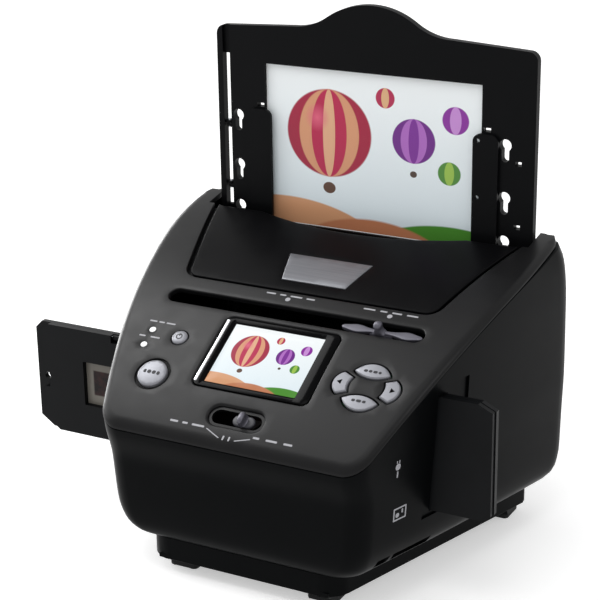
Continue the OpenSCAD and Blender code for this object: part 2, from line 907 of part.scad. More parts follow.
chassis_top = chassis_z + chassis_t;
chassis_front = -42.4;
chassis_half = 43.6;
rail_y0 = 7;
rail_y1 = 24;
bracket_x = 79.4;
bracket_t = 3;
camera_plate_y = -41.8;
camera_plate_t = 2.4;
rod_y_pos = slot_y - 1;
light_y0 = rod_y_pos - light_d / 2;
light_bottom = axis_z - light_h / 2;
light_top = axis_z + light_h / 2;
lug_h = 8;
rod_z_low = light_bottom - lug_h / 2;
rod_z_high = light_top + lug_h / 2;
light_rest = lever_x + 7.6;

module inner_chassis() {
    color([0.16, 0.16, 0.17])
        difference() {
            union() {
                translate([0, 0, chassis_z])
                    linear_extrude(chassis_t)
                        polygon([
                            [-chassis_half, chassis_front], [chassis_half, chassis_front], [chassis_half, rail_y0],
                            [bracket_x + bracket_t, rail_y0],
                            [bracket_x + bracket_t, rail_y1], [-bracket_x - bracket_t, rail_y1],
                            [-bracket_x - bracket_t, rail_y0], [-chassis_half, rail_y0]
                        ]);
                // upright plate that carries the camera
                box([-17, camera_plate_y, chassis_top - eps], [17, camera_plate_y + camera_plate_t, link_z - 0.6]);
                for (s = [-1, 1])
                    box([s * 16 - 1, camera_plate_y, chassis_top - eps], [s * 16 + 1, camera_plate_y + 7, chassis_top + 12]);
                // grooved rail for the close-up lens slider
                box([-14, slider_y0 - 2.4, chassis_top - eps], [24, slider_y0 + slider_t + 2.4, slider_bottom + 4]);
            }
            rod_y(0, axis_z, barrel_r + 0.15, camera_plate_y - 1, camera_plate_y + camera_plate_t + 1);
            box([-15, slider_y0 - 0.2, slider_bottom - 0.3], [25, slider_y0 + slider_t + 0.2, slider_bottom + 5]);
            mirror_both()
                for (p = chassis_posts)
                    rod_z(p[0], p[1], screw_r + screw_gap, chassis_z - 1, chassis_top + 1);
        }
}

module camera_board() {
    y1 = camera_plate_y - 1.6;
    color([0.1, 0.35, 0.2]) {
        box([-15, y1 - 1.4, axis_z - 14], [15, y1, axis_z + 9.4]);
        // spacers to the chassis plate
        for (s = [-1, 1])
            rod_y(s * 12.4, axis_z - 11.4, 1.6, y1 - 0.1, camera_plate_y - seat_gap / 2);
    }
}

module lens_barrel() {
    y0 = camera_plate_y - 1.6 + seat_gap / 2;
    y1 = slider_y0 - 1.2;
    color([0.07, 0.07, 0.07])
        difference() {
            union() {
                rod_y(0, axis_z, barrel_r, y0, y1);
                rod_y(0, axis_z, barrel_r + 1.6, camera_plate_y + camera_plate_t + seat_gap / 2, camera_plate_y + camera_plate_t + 1.4);
            }
            rod_y(0, axis_z, closeup_r + 0.65, y1 - 1.5, y1 + 1);
            rod_y(0, axis_z, closeup_r - 1.2, y0 - 1, y1);
        }
}

module camera_lens() {
    y1 = slider_y0 - 1.2;
    color([0.4, 0.5, 0.7])
        rod_y(0, axis_z, closeup_r + 0.6, y1 - 1.4, y1 - 0.2);
}

slider_bottom = axis_z - 15;

module closeup_slider() {
    y1 = slider_y0 + slider_t;
    color([0.1, 0.1, 0.1])
        difference() {
            union() {
                box([-closeup_r - 2, slider_y0, slider_bottom], [mode_travel + closeup_r + 2, y1, axis_z + closeup_r + 2.5]);
                box([mode_rest - 2.4, slider_y0, axis_z], [mode_rest + 2.4, y1, link_z + link_t]);
                box([mode_rest - 2.4, link_y0, link_z], [mode_rest + 2.4, y1, link_z + link_t]);
            }
            for (x = [0, mode_travel])
                rod_y(x, axis_z, closeup_r + 0.05, slider_y0 - 1, y1 + 1);
        }
}

module closeup_lens() {
    color([0.4, 0.5, 0.7])
        rod_y(mode_travel, axis_z, closeup_r, slider_y0 + 0.3, slider_y0 + slider_t - 0.3);
}

gate_w = frame_w + 8;
gate_h = frame_h + 8;

module film_channel() {
    x1 = channel_half;
    color([0.1, 0.1, 0.1])
        difference() {
            union() {
                box([-x1, block_y0, block_z0], [x1, -block_y0, block_z1]);
                mirror_both() box([35, block_y0, chassis_top + seat_gap], [42, -block_y0, block_z0 + eps]);
            }
            box([-x1 - 1, -channel_y, channel_z0], [x1 + 1, channel_y, channel_z1]);
            box([-gate_w / 2, -50, axis_z - gate_h / 2], [gate_w / 2, 50, axis_z + gate_h / 2]);
        }
}

module rod_bracket() {
    color([0.16, 0.16, 0.17])
        difference() {
            box([bracket_x, light_y0 - 0.6, chassis_top + seat_gap], [bracket_x + bracket_t, light_y0 + light_d + 1, rod_z_high + 5]);
            for (z = [rod_z_low, rod_z_high])
                rod_x(rod_y_pos, z, rod_r + rod_gap, bracket_x - 1, bracket_x + bracket_t - 0.5);
        }
}

module guide_rods() {
    x1 = bracket_x + bracket_t - 0.7;
    color([0.8, 0.8, 0.82])
        for (z = [rod_z_low, rod_z_high])
            rod_x(rod_y_pos, z, rod_r, -x1, x1);
}

module backlight_housing() {
    x0 = light_rest - light_w / 2;
    x1 = light_rest + light_w / 2;
    y1 = light_y0 + light_d;
    t = 1.5;
    color([0.85, 0.85, 0.85])
        difference() {
            union() {
                box([x0, light_y0, light_bottom], [x1, y1, light_top]);
                for (x = [x0, x1 - 9]) {
                    box([x, light_y0, light_top - eps], [x + 9, y1, light_top + lug_h]);
                    box([x, light_y0, light_bottom - lug_h], [x + 9, y1, light_bottom + eps]);
                }
                // seat of the lever between the upper lugs
                box([x0, lever_y0, light_top - eps], [x1, lever_y1, light_top + lug_h]);
            }
            box([x0 + t, light_y0 - 1, light_bottom + t], [x1 - t, y1 - t, light_top - t]);
            for (z = [rod_z_low, rod_z_high])
                rod_x(rod_y_pos, z, rod_r + rod_gap, x0 - 1, x1 + 1);
        }
}

module backlight_board() {
    y1 = light_y0 + light_d - 1.5;
    color([0.9, 0.9, 0.88])
        box([light_rest - light_w / 2 + 1.7, y1 - 1.3, light_bottom + 1.7],
            [light_rest + light_w / 2 - 1.7, y1 - 0.1, light_top - 1.7]);
}

module backlight_diffuser() {
    color([0.95, 0.95, 0.97]) {
        box([light_rest - light_w / 2 + 1.7, light_y0 + 0.3, light_bottom + 1.7],
            [light_rest + light_w / 2 - 1.7, light_y0 + 1.8, light_top - 1.7]);
        // spacer posts that stand on the light board
        for (sx = [-1, 1])
            for (sz = [-1, 1])
                rod_y(light_rest + sx * (light_w / 2 - 4), axis_z + sz * (light_h / 2 - 4), 1, light_y0 + 1.7, light_y0 + light_d - 2.9);
    }
}

module photo_lamp() {
    y0 = light_y0 + light_d + 1 + seat_gap;
    color([0.9, 0.9, 0.85]) {
        box([bracket_x - 12, y0, axis_z - 30], [bracket_x + bracket_t, y0 + board_t, axis_z + 26]);
        for (i = [-2 : 2])
            box([bracket_x - 8, y0 + board_t - 0.1, axis_z + i * 10 - 3.5], [bracket_x - 4.5, y0 + board_t + 0.8, axis_z + i * 10 - 0.5]);
    }
}

// ---------------------------------------------------------------- photo tray

tray_rest_z = tray_floor + tray_lift;
tray_y0 = tray_y - tray_front_t - 0.25;
tray_y1 = tray_y + 0.2 + tray_back_t;
guide_gap = 0.3;
guide_z0 = base_top + 19.5;
guide_z1 = top_z(body_rear - rear_round) - rear_round - 1;

module tray_guide() {
    x0 = tray_half - 3.2;
    x1 = tray_half + guide_gap + 2.4;
    y0 = tray_y0 - guide_gap - 2;
    y1 = tray_y1 + guide_gap + 2;
    color([0.12, 0.12, 0.12]) {
        difference() {
            box([x0, y0, guide_z0], [x1, y1, guide_z1]);
            box([x0 - 1, tray_y0 - guide_gap, guide_z0 - 1], [tray_half + guide_gap, tray_y1 + guide_gap, guide_z1 + 1]);
        }
        // rib that stands on the rear cover
        box([x0, y1 - eps, guide_z0], [x0 + 2.6, body_rear - wall - seat_gap, axis_z + 36]);
    }
}

tray_corner = 5;
hump_fillet = 36;
// How far the shoulders fall from the hump to the corners
shoulder_fall = 2.3;

// Points on an arc from angle a0 to a1
function arc(cx, cy, r, a0, a1, n) = [for (i = [0 : n]) let (a = a0 + i * (a1 - a0) / n) [cx + r * cos(a), cy + r * sin(a)]];

// Right half of the tray seen from the front, its bottom edge at 0
function tray_side() =
    let (
        c = tray_half - tray_corner,
        dz = tray_shoulder + hump_fillet - (tray_top - hump_r),
        fx = sqrt(pow(hump_r + hump_fillet, 2) - dz * dz),
        a = atan2(dz, fx)
    )
    concat(
        arc(c, tray_corner, tray_corner, -90, 0, 6),
        arc(c, tray_shoulder - shoulder_fall - tray_corner, tray_corner, 0, 90, 6),
        arc(fx, tray_shoulder + hump_fillet, hump_fillet, -90, a - 180, 8),
        arc(0, tray_top - hump_r, hump_r, a, 90, 12)
    );

// Outer shape of the tray: a hump in the middle of its upper edge
module tray_shape() {
    right = tray_side();
    n = len(right);
    polygon(concat(right, [for (i = [2 : n]) [-right[n - i][0], right[n - i][1]]]));
}

// Places a flat shape as a plate of the tray between two depths
module tray_plate(y0, y1) {
    translate([0, y1, tray_rest_z]) rotate([90, 0, 0]) linear_extrude(y1 - y0) children();
}

hinge_x = -tray_half + 5.6;
hinge_r = 1.8;
hinge_pin_r = 0.9;
hinge_z0 = 12;
hinge_z1 = 97;
knuckle_h = 1.4;
knuckle_gap = 0.3;
front_knuckles = [22, 56.5];
back_knuckles = [for (z = front_knuckles) z + knuckle_h + knuckle_gap];
keyhole_z = [12.6, 35.9, 63.6];
keyhole_r = 3.2;
keyhole_drop = 6.8;
keyhole_slot_r = 2;
keyhole_left = -79.7;
keyhole_right = 76;
// Small slots near the right edge
edge_slot_x = 83.2;
edge_slot_z = [21.1, 54.6];
edge_slot_w = 3.4;
edge_slot_h = 2.4;
// Small slot above each print rail
rail_slot_x = 65.7;
rail_slot_z = 70.6;
rail_slot_w = 4.4;
rail_slot_h = 2.2;

module keyhole() {
    circle(keyhole_r);
    translate([-keyhole_slot_r, -keyhole_drop]) square([2 * keyhole_slot_r, keyhole_drop]);
    translate([0, -keyhole_drop]) circle(keyhole_slot_r);
}

module tray_holes() {
    for (x = [keyhole_left, keyhole_right])
        for (z = keyhole_z)
            translate([x, z]) keyhole();
    for (z = edge_slot_z)
        translate([edge_slot_x, z]) square([edge_slot_w, edge_slot_h], center = true);
    for (s = [-1, 1])
        translate([s * rail_slot_x, rail_slot_z]) square([rail_slot_w, rail_slot_h], center = true);
}

module tray_back() {
    pw = print_w / 2 + 1.5;
    color([0.06, 0.06, 0.065])
        difference() {
            union() {
                tray_plate(tray_y1 - tray_back_t, tray_y1)
                    difference() {
                        tray_shape();
                        tray_holes();
                    }
                // rim around the print
                tray_plate(tray_y - 0.2, tray_y1 - tray_back_t + 0.05)
                    difference() {
                        tray_shape();
                        translate([-pw, print_foot - 1]) square([2 * pw, print_h + 2]);
                        tray_holes();
                    }
                // spine of the hinge
                tray_plate(tray_y0, tray_y1)
                    intersection() {
                        tray_shape();
                        translate([-tray_half - 1, 0]) square([hinge_x - hinge_r - 0.4 + tray_half + 1, 200]);
                    }
            }
            box([hinge_x - hinge_r - 0.4, tray_y0 - 5, tray_rest_z + hinge_z0], [hinge_x + hinge_r + 0.4, tray_y1 + 5, tray_rest_z + hinge_z1]);
        }
    color([0.06, 0.06, 0.065])
        for (z = back_knuckles)
            difference() {
                union() {
                    rod_z(hinge_x, tray_y, hinge_r, tray_rest_z + z, tray_rest_z + z + knuckle_h);
                    box([hinge_x - hinge_r - 0.5, tray_y - 1, tray_rest_z + z], [hinge_x, tray_y + 1, tray_rest_z + z + knuckle_h]);
                }
                rod_z(hinge_x, tray_y, hinge_pin_r + 0.05, tray_rest_z + z - 1, tray_rest_z + z + knuckle_h + 1);
            }
}

module tray_front_frame() {
    x0 = hinge_x + hinge_r + 0.4;
    win_w = print_w - 1.4;
    win_h = print_h - 1.4;
    y1 = tray_y - 0.25;
    color([0.06, 0.06, 0.065])
        tray_plate(tray_y0, y1)
            difference() {
                intersection() {
                    tray_shape();
                    translate([x0, 0]) square([2 * tray_half, 200]);
                }
                translate([-win_w / 2, print_foot + 0.7]) square([win_w, win_h]);
                tray_holes();
            }
    color([0.06, 0.06, 0.065])
        for (z = front_knuckles)
            difference() {
                union() {
                    rod_z(hinge_x, tray_y, hinge_r, tray_rest_z + z, tray_rest_z + z + knuckle_h);
                    box([hinge_x, tray_y0 + 0.4, tray_rest_z + z], [x0 + 0.1, y1, tray_rest_z + z + knuckle_h]);
                }
                rod_z(hinge_x, tray_y, hinge_pin_r + 0.05, tray_rest_z + z - 1, tray_rest_z + z + knuckle_h + 1);
            }
}

module tray_hinge_pins() {
    color([0.75, 0.75, 0.77])
        for (z = front_knuckles)
            rod_z(hinge_x, tray_y, hinge_pin_r, tray_rest_z + z - 0.8, tray_rest_z + z + 2 * knuckle_h + knuckle_gap + 0.8);
}

rail_x0 = 58.8;
rail_w = 14;
rail_top = 68.6;
rail_t = 2;

module print_rail(holes) {
    y0 = tray_y0 - seat_gap - rail_t;
    color([0.07, 0.07, 0.075])
        translate([rail_x0 + rail_w / 2, y0 + rail_t, tray_rest_z])
            rotate([90, 0, 0])
                linear_extrude(rail_t)
                    difference() {
                        translate([0, (rail_top + 1) / 2]) round_rect(rail_w, rail_top - 1, 4);
                        if (holes)
                            for (z = [35, 65])
                                translate([-rail_w / 2 + 2.8, z]) circle(1.1);
                    }
}

module photo_print() {
    color([0.85, 0.9, 0.95])
        box([-print_w / 2, tray_y - 0.12, tray_rest_z + print_foot], [print_w / 2, tray_y + 0.13, tray_rest_z + print_foot + print_h]);
}

// ---------------------------------------------------------------- film holder

holder_left = holder_right - holder_len;
first_frame = holder_left + holder_margin + frame_w / 2;
holder_z0 = axis_z - holder_h / 2;
holder_z1 = axis_z + holder_h / 2;
film_w = 35;
// Size of the cut corners at the holder's left end
holder_cut = 8;
film_t = 0.16;
holder_pin_r = 0.7;
holder_knuckle_r = 1.6;
holder_knuckles = [for (i = [0 : 4]) holder_left + 50 + i * 42];

module holder_windows(w, h) {
    for (i = [0 : frame_count - 1])
        box([first_frame + i * frame_pitch - w / 2, -holder_t, axis_z - h / 2],
            [first_frame + i * frame_pitch + w / 2, holder_t, axis_z + h / 2]);
}

// Chamfered outline of a half of the holder
module holder_plate(x0, x1, y0, y1, cut) {
    translate([0, y1, 0])
        rotate([90, 0, 0])
            linear_extrude(y1 - y0)
                polygon([
                    [x0 + cut, holder_z0], [x1 - 3, holder_z0], [x1, holder_z0 + 3], [x1, holder_z1 - 3.5],
                    [x1 - 7.5, holder_z1], [x0 + cut / 2, holder_z1], [x0, holder_z1 - cut / 2],
                    [x0, holder_z0 + 0.7 * cut]
                ]);
}

// Notches along the hinge where the other half's knuckles lie
module knuckle_notches(odd) {
    for (i = [0 : 4])
        if (i % 2 == odd)
            box([holder_knuckles[i] - 0.3, -holder_t, holder_z1 - 4.2], [holder_knuckles[i] + 16.3, holder_t, holder_z1 + 1]);
}

module knuckles(odd, side) {
    z = holder_z1 - 2;
    for (i = [0 : 4])
        if (i % 2 == odd)
            difference() {
                union() {
                    rod_x(0, z, holder_knuckle_r, holder_knuckles[i], holder_knuckles[i] + 16);
                    box([holder_knuckles[i], side > 0 ? 0 : -holder_t / 2 + 0.4, holder_z1 - 4.3],
                        [holder_knuckles[i] + 16, side > 0 ? holder_t / 2 - 0.4 : 0, z]);
                }
                rod_x(0, z, holder_pin_r + 0.05, holder_knuckles[i] - 1, holder_knuckles[i] + 17);
            }
}

module pin_groove() {
    rod_x(0, holder_z1 - 2, holder_knuckle_r + 0.3, holder_knuckles[0] - 3, holder_knuckles[4] + 19);
}

module film_holder_base() {
    color([0.07, 0.07, 0.07])
        difference() {
            holder_plate(holder_left, holder_right, 0.05, holder_t / 2, holder_cut);
            holder_windows(frame_w + 0.6, frame_h + 0.6);
            // recess that holds the film strip
            box([film_x0 - 0.4, -1, axis_z - film_w / 2 - 0.3], [film_x1 + 0.4, 0.3, axis_z + film_w / 2 + 0.3]);
            rod_y(holder_left + 6, axis_z - 1, 2, -10, 10);
            knuckle_notches(1);
            pin_groove();
        }
    color([0.07, 0.07, 0.07]) knuckles(0, 1);
}

module film_holder_cover() {
    color([0.09, 0.09, 0.09]) {
        difference() {
            holder_plate(holder_left + 6, holder_right - 0.6, -holder_t / 2, -0.05, holder_cut);
            holder_windows(frame_w + 0.6, frame_h + 0.6);
            rod_y(holder_left + 6, axis_z - 1, 4, -10, 10);
            box([holder_left, -holder_t, axis_z - 6], [holder_left + 9, holder_t, axis_z + 4]);
            knuckle_notches(0);
            pin_groove();
        }
        knuckles(1, -1);
    }
}

film_x0 = first_frame - frame_w / 2 - 1;
film_x1 = film_x0 + frame_count * frame_pitch;

module film_holder_hinge_pin() {
    color([0.75, 0.75, 0.77])
        rod_x(0, holder_z1 - 2, holder_pin_r, holder_knuckles[0] - 2, holder_knuckles[4] + 18);
}

module film_strip() {
    color([0.45, 0.2, 0.12])
        box([film_x0, 0.1, axis_z - film_w / 2], [film_x1, 0.1 + film_t, axis_z + film_w / 2]);
}

// ---------------------------------------------------------------- fasteners

head_r = 2.6;
head_t = 1.6;

module screw(length) {
    cylinder(r = screw_r, h = length);
    difference() {
        translate([0, 0, -head_t + 0.1]) cylinder(r = head_r, h = head_t - 0.1);
        for (a = [0, 90])
            rotate(a) translate([-1.6, -0.35, -head_t - 1]) cube([3.2, 0.7, 1.8]);
    }
}

module base_screws() {
    color([0.3, 0.3, 0.32])
        mirror_both()
            for (p = base_screw_xy)
                translate([p[0], p[1], base_bottom + head_t]) screw(base_top + 10 - base_bottom - head_t);
}

module chassis_screws() {
    color([0.6, 0.6, 0.62])
        mirror_both()
            for (p = chassis_posts)
                translate([p[0], p[1], chassis_top]) rotate([180, 0, 0]) translate([0, 0, -seat_gap]) screw(10);
}

module rear_screws() {
    color([0.3, 0.3, 0.32])
        mirror_both()
            for (p = rear_screw_xz)
                translate([p[0], body_rear - head_t, p[1]]) rotate([90, 0, 0]) screw(body_rear - head_t - seam_y + 10);
}

main_housing();
front_panel();
top_cover();
rear_cover();
base_plate();
foot_pad(-1, false);  // foot_pad_front_left
foot_pad(1, false);  // foot_pad_front_right
foot_pad(-1, true);  // foot_pad_rear_left
foot_pad(1, true);  // foot_pad_rear_right
name_plate();
lcd_bezel();
lcd_display();
scan_button();
power_button();
nav_button(90);  // nav_up_button
nav_button(270);  // nav_down_button
nav_button(180);  // nav_left_button
nav_button(0);  // nav_right_button
status_light_pipes();
mode_switch();
backlight_lever();
left_button_board();
right_button_board();
main_board();
usb_socket();
card_socket();
inner_chassis();
camera_board();
lens_barrel();
camera_lens();
closeup_slider();
closeup_lens();
film_channel();
mirror([1, 0, 0]) rod_bracket();  // rod_bracket_left
rod_bracket();  // rod_bracket_right
guide_rods();
backlight_housing();
backlight_board();
backlight_diffuser();
mirror([1, 0, 0]) photo_lamp();  // photo_lamp_left
photo_lamp();  // photo_lamp_right
mirror([1, 0, 0]) tray_guide();  // tray_guide_left
tray_guide();  // tray_guide_right
tray_back();
tray_front_frame();
tray_hinge_pins();
mirror([1, 0, 0]) print_rail(false);  // print_rail_left
print_rail(true);  // print_rail_right
photo_print();
film_holder_base();
film_holder_cover();
film_holder_hinge_pin();
film_strip();
base_screws();
chassis_screws();
rear_screws();
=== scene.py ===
"""Looks of a desktop scanner for film strips and photo prints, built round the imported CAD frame.

Sizes are in millimetres and are turned to metres where a mesh is made. X = 0 is the middle of the
casing, Y = 0 the film plane, the front is -Y and +Z is up.
"""

import json
import math

import bmesh
import bpy
import numpy as np
from mathutils import Matrix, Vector
from mathutils.geometry import delaunay_2d_cdt

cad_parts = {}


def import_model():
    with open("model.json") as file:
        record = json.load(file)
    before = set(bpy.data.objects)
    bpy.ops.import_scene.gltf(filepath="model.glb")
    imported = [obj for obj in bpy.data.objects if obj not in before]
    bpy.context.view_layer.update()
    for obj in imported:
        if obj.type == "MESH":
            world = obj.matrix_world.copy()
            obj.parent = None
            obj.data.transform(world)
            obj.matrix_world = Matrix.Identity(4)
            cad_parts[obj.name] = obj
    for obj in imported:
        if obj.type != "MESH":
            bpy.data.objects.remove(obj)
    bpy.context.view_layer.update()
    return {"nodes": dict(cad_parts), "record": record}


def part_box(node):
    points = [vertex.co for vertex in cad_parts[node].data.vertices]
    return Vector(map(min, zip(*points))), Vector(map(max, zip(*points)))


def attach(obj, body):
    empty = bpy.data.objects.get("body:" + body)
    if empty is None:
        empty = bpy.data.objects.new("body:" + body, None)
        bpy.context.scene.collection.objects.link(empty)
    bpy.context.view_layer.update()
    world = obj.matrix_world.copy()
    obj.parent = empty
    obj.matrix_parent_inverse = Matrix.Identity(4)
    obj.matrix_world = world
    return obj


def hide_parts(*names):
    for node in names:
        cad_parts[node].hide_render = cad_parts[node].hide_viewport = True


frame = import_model()
NODES = frame["nodes"]
BODY_OF = {n: body for body, names in frame["record"]["behaviour"]["bodies"].items() for n in names}
MM = 0.001

# ---------------------------------------------------------------- sizes

# The curved top surface is part of a cylinder along X
TOP_R = 350.0
TOP_CY = 158.5
TOP_CREST = 158.8
TOP_CZ = TOP_CREST - TOP_R

FRONT_Y = -57.0
REAR_Y = 116.0
SEAM_Y = 108.6
SEAM_GAP = 0.15
HALF_FRONT = 77.0
HALF_MID = 91.0
HALF_REAR = 110.5
STATION_FRONT = FRONT_Y + 4
STATION_REAR = REAR_Y - 11
CORNER_FRONT = 13.0
CORNER_REAR = 12.0
WALL = 2.5
PANEL_T = 3.0
EDGE_ROUND = 4.6
EDGE_FALL = 2.5
REAR_ROUND, BACK_ROUND = 2.6, 9.0

# Height, inset of the front, inset of the rear, then how much narrower the casing is at the front, the
# film plane and the rear, and how much larger its rear corners' radius is
SECTIONS = np.array([
    [20, 13.5, 9, 28, 26, 13.5, 0],
    [23, 9.5, 5, 17.5, 15, 5.5, 0],
    [29, 7, 1.5, 12.5, 9.5, 2.2, 0],
    [38, 6, 0, 9.5, 7, 1.2, 0],
    [62, 5, 0, 7.5, 5, 0.6, 0],
    [82, 0, 0, 5.5, 3.5, 0, 0],
    [123, 0, 0, 2, 1.2, 0, 1],
    [142, 0, 0, 1, 0.6, 1.2, 2],
    [160, 0, 0, 0, 0, 8, 6],
], float)
CASING_LOW = 20.0

# Film slots in both sides, with a shallow recess round each
CHANNEL_Y = 3.5
CHANNEL_LOW = 44.5
CHANNEL_HIGH = 105.5
RECESS_DEPTH = 1.2
RECESS_FRONT = -10.0
RECESS_REAR = 18.0
RECESS_LOW = 42.5
RECESS_HIGH = 110.0

# Sockets low in the right side
SOCKET_X, SOCKET_Z = 54.0, 25.7
USB_Y, USB_W, USB_H = -31.4, 7.6, 3.4
CARD_Y, CARD_W, CARD_T = -12.0, 25.0, 3.2
SOCKET_GAP = 0.4

# Rear face: thickness of the top, cooling slots, screw seats
REAR_TOP_T = 2.2
VENT_PITCH, VENT_W, VENT_LOW, VENT_HIGH = 9.0, 2.4, 103.0, 121.0
REAR_SCREW_X, REAR_SCREW_ZS, SEAT_R, SEAT_DEPTH = 98.6, (44.0, 100.0), 2.7, 1.6

# Top cover
COVER_DROP = 0.5
COVER_T = 1.7
COVER_FRONT = 28.5
COVER_HALF_FRONT = 71.0
COVER_HALF_REAR = 88.0
COVER_CORNER = 7.0
LIP_Y = 92.0
LIP_DEPTH = 15.0
SCOOP_DEPTH = 10.0
SCOOP_HALF = 60.0
GROOVE_SIDE, GROOVE_FRONT = 2.3, 1.5
REAR_NOTCH_Z = 143.5
TRAY_SLOT_HALF = 93.6

# Panel controls
LCD_W, LCD_H, LCD_Y = 50.0, 37.6, -14.0
LCD_OPEN_W = LCD_W + 14.5
LCD_OPEN_H = LCD_H + 7.8
LCD_SHIFT = -1.2
SLOT_LEN, SLOT_W, SLOT_Y = 143.5, 9.5, 13.5
MODE_LEN, MODE_W, MODE_Y = 30.0, 11.0, -44.7
MODE_REST = 5.0
SCAN_X, SCAN_Y, SCAN_R = -54.6, -32.0, 7.8
POWER_X, POWER_Y, POWER_R = -51.0, -11.3, 4.2
LIGHT_X, LIGHT_YS, LIGHT_R = -68.0, (-9.6, -18.3), 1.7
NAV_X, NAV_Y, NAV_A, NAV_B = 56.5, -19.0, 17.4, 14.0
LENS_HALF = 9.3
BUTTON_GAP = 0.45
LEVER_X, LEVER_HALF, LEVER_FOOT = 49.3, 21.5, 101.2

# Printed signs on the right side: depth and height of their middles
PLUG_SIGN = (-30.0, 78.0)
CARD_SIGN = (-26.0, 52.5)

# Name plate
PLATE_Y, PLATE_TOP, PLATE_BOTTOM, PLATE_H = 45.8, 47.4, 36.2, 21.4

# Photo tray
TRAY_Z = 137.4
PRINT_W, PRINT_H, PRINT_FOOT, PRINT_Y = 127.0, 89.0, 5.2, 104.3


# ---------------------------------------------------------------- colours and shader nodes

def colour(hex_value):
    """Linear colour of an sRGB hex value."""
    srgb = np.array([int(hex_value[i:i + 2], 16) for i in (1, 3, 5)]) / 255
    linear = np.where(srgb <= 0.04045, srgb / 12.92, ((srgb + 0.055) / 1.055) ** 2.4)
    return (*linear.tolist(), 1.0)


def wire(node, inputs):
    """Sets a node's inputs, by name or number, from links, hex colours or plain values."""
    for name, value in inputs.items():
        if isinstance(value, bpy.types.NodeSocket):
            node.id_data.links.new(value, node.inputs[name])
        else:
            node.inputs[name].default_value = colour(value) if isinstance(value, str) else value


def add(tree, kind, inputs=(), **settings):
    """Adds a shader node with its settings, and its inputs in order or by name."""
    node = tree.nodes.new("ShaderNode" + kind)
    for name, value in settings.items():
        setattr(node, name, value)
    wire(node, inputs if isinstance(inputs, dict) else dict(enumerate(inputs)))
    return node


def material(name, **shader):
    """A new material with its tree and its Principled shader, whose sockets are set by name."""
    made = bpy.data.materials.new(name)
    made.use_nodes = True
    tree = made.node_tree
    tree.nodes.clear()
    surface = add(tree, "BsdfPrincipled", {key.replace("_", " "): v for key, v in shader.items()})
    add(tree, "OutputMaterial", (surface.outputs["BSDF"],))
    return made, tree, surface


def object_noise(tree, size_mm, detail=2.0, roughness=0.5, stretch=(1, 1, 1)):
    """Noise on Object coordinates whose grains are size_mm wide, longer where stretch is below 1."""
    place = add(tree, "TexCoord").outputs["Object"]
    scaled = add(tree, "Mapping", {"Vector": place, "Scale": stretch}).outputs["Vector"]
    return add(tree, "TexNoise", {"Vector": scaled, "Scale": 1 / (size_mm * MM), "Detail": detail,
                                  "Roughness": roughness}).outputs["Fac"]


# Most of a noise lies between these values
NOISE_SPAN = (0.3, 0.7)


def tinted(tree, surface, pattern, low, high):
    """Colours a surface from low to high as a pattern goes from 0 to 1."""
    tint = add(tree, "Mix", {"Factor": pattern, "A": low, "B": high}, data_type="RGBA")
    wire(surface, {"Base Color": tint.outputs["Result"]})


def bumped(tree, surface, height, depth_mm):
    """Gives a surface a relief of depth_mm from a height between 0 and 1."""
    relief = add(tree, "Bump", {"Height": height, "Distance": depth_mm * MM, "Strength": 1.0})
    wire(surface, {"Normal": relief.outputs["Normal"]})


def moulded(name, dark, light, rough, grain_mm, depth_mm, level=0.3, **shader):
    """Moulded plastic: spark-eroded grain in the bump, slow clouds in colour and gloss from the flow."""
    made, tree, surface = material(name, Specular_IOR_Level=level, **shader)
    tinted(tree, surface, object_noise(tree, 26, 3), dark, light)
    gloss = add(tree, "MapRange", (object_noise(tree, 9, 4), *NOISE_SPAN, rough - 0.03, rough + 0.03))
    wire(surface, {"Roughness": gloss.outputs["Result"]})
    bumped(tree, surface, object_noise(tree, grain_mm, 2, 0.6), depth_mm)
    return made


# ---------------------------------------------------------------- materials

# Moulded ABS with a fine grain: a deep black that still shows soft broad reflections
CASING = moulded("moulded_black_abs", "#050607", "#08090a", 0.32, 0.5, 0.004, 0.035)
# Satin soft-feel lacquer on ABS: darkest grey, with a wide soft sheen
PANEL = moulded("satin_charcoal_lacquer", "#0e0e0f", "#121213", 0.35, 0.35, 0.003, 0.14)
# The same lacquer on the cover, painted a shade darker and with less gloss: painted shade for the print tray
# standing behind the cover, which keeps light off its reflection
SHADED_COVER_LACQUER = moulded("satin_lacquer_painted_shade", "#060607", "#08080a", 0.33, 0.35, 0.003, 0.04)
# Polystyrene with a matt grain
TRAY = moulded("matt_black_styrene", "#070809", "#0b0b0d", 0.42, 0.45, 0.006, 0.06)
# The film holder's polypropylene, a little glossier than the tray
HOLDER = moulded("film_holder_polypropylene", "#0b0c0d", "#101113", 0.38, 0.4, 0.005, 0.08)
# Glass-filled nylon of the inner frame
CHASSIS = moulded("glass_filled_nylon", "#0c0c0d", "#131315", 0.55, 0.6, 0.02, 0.1)
# Cast rubber of the feet
RUBBER = moulded("cast_rubber", "#0e0e0f", "#151516", 0.7, 0.5, 0.02, 0.25)
# Painted silver buttons: fine metal flake in a satin clear coat
SILVER = moulded("silver_painted_abs", "#77787e", "#898a90", 0.34, 0.25, 0.002, 0.3, Metallic=0.25)
# The same paint in a duller batch, on the sliding knobs
KNOB_SILVER = moulded("dull_silver_paint", "#4b4a53", "#5d5c65", 0.36, 0.25, 0.002, 0.4, Metallic=0.4)
# Dark grey moulding of the mode switch
MODE_PAINT = moulded("grey_moulded_abs", "#2c2c32", "#37373d", 0.4, 0.25, 0.002, 0.3)
# Polished bright trim beside the display: a painted highlight, in the place of the light caught by the
# frame's left bevel
HIGHLIGHT_TRIM = moulded("painted_highlight_trim", "#c4c5c8", "#d2d3d6", 0.25, 0.4, 0.001, 0.5, Metallic=0.9)
# White polystyrene of the backlight and lamps
WHITE = moulded("white_polystyrene", "#d8d8d4", "#e6e6e2", 0.4, 0.6, 0.004, 0.4)
# Milky acrylic that spreads the light
DIFFUSER = moulded("opal_acrylic", "#eceff2", "#f6f8fa", 0.3, 0.8, 0.002, 0.5)


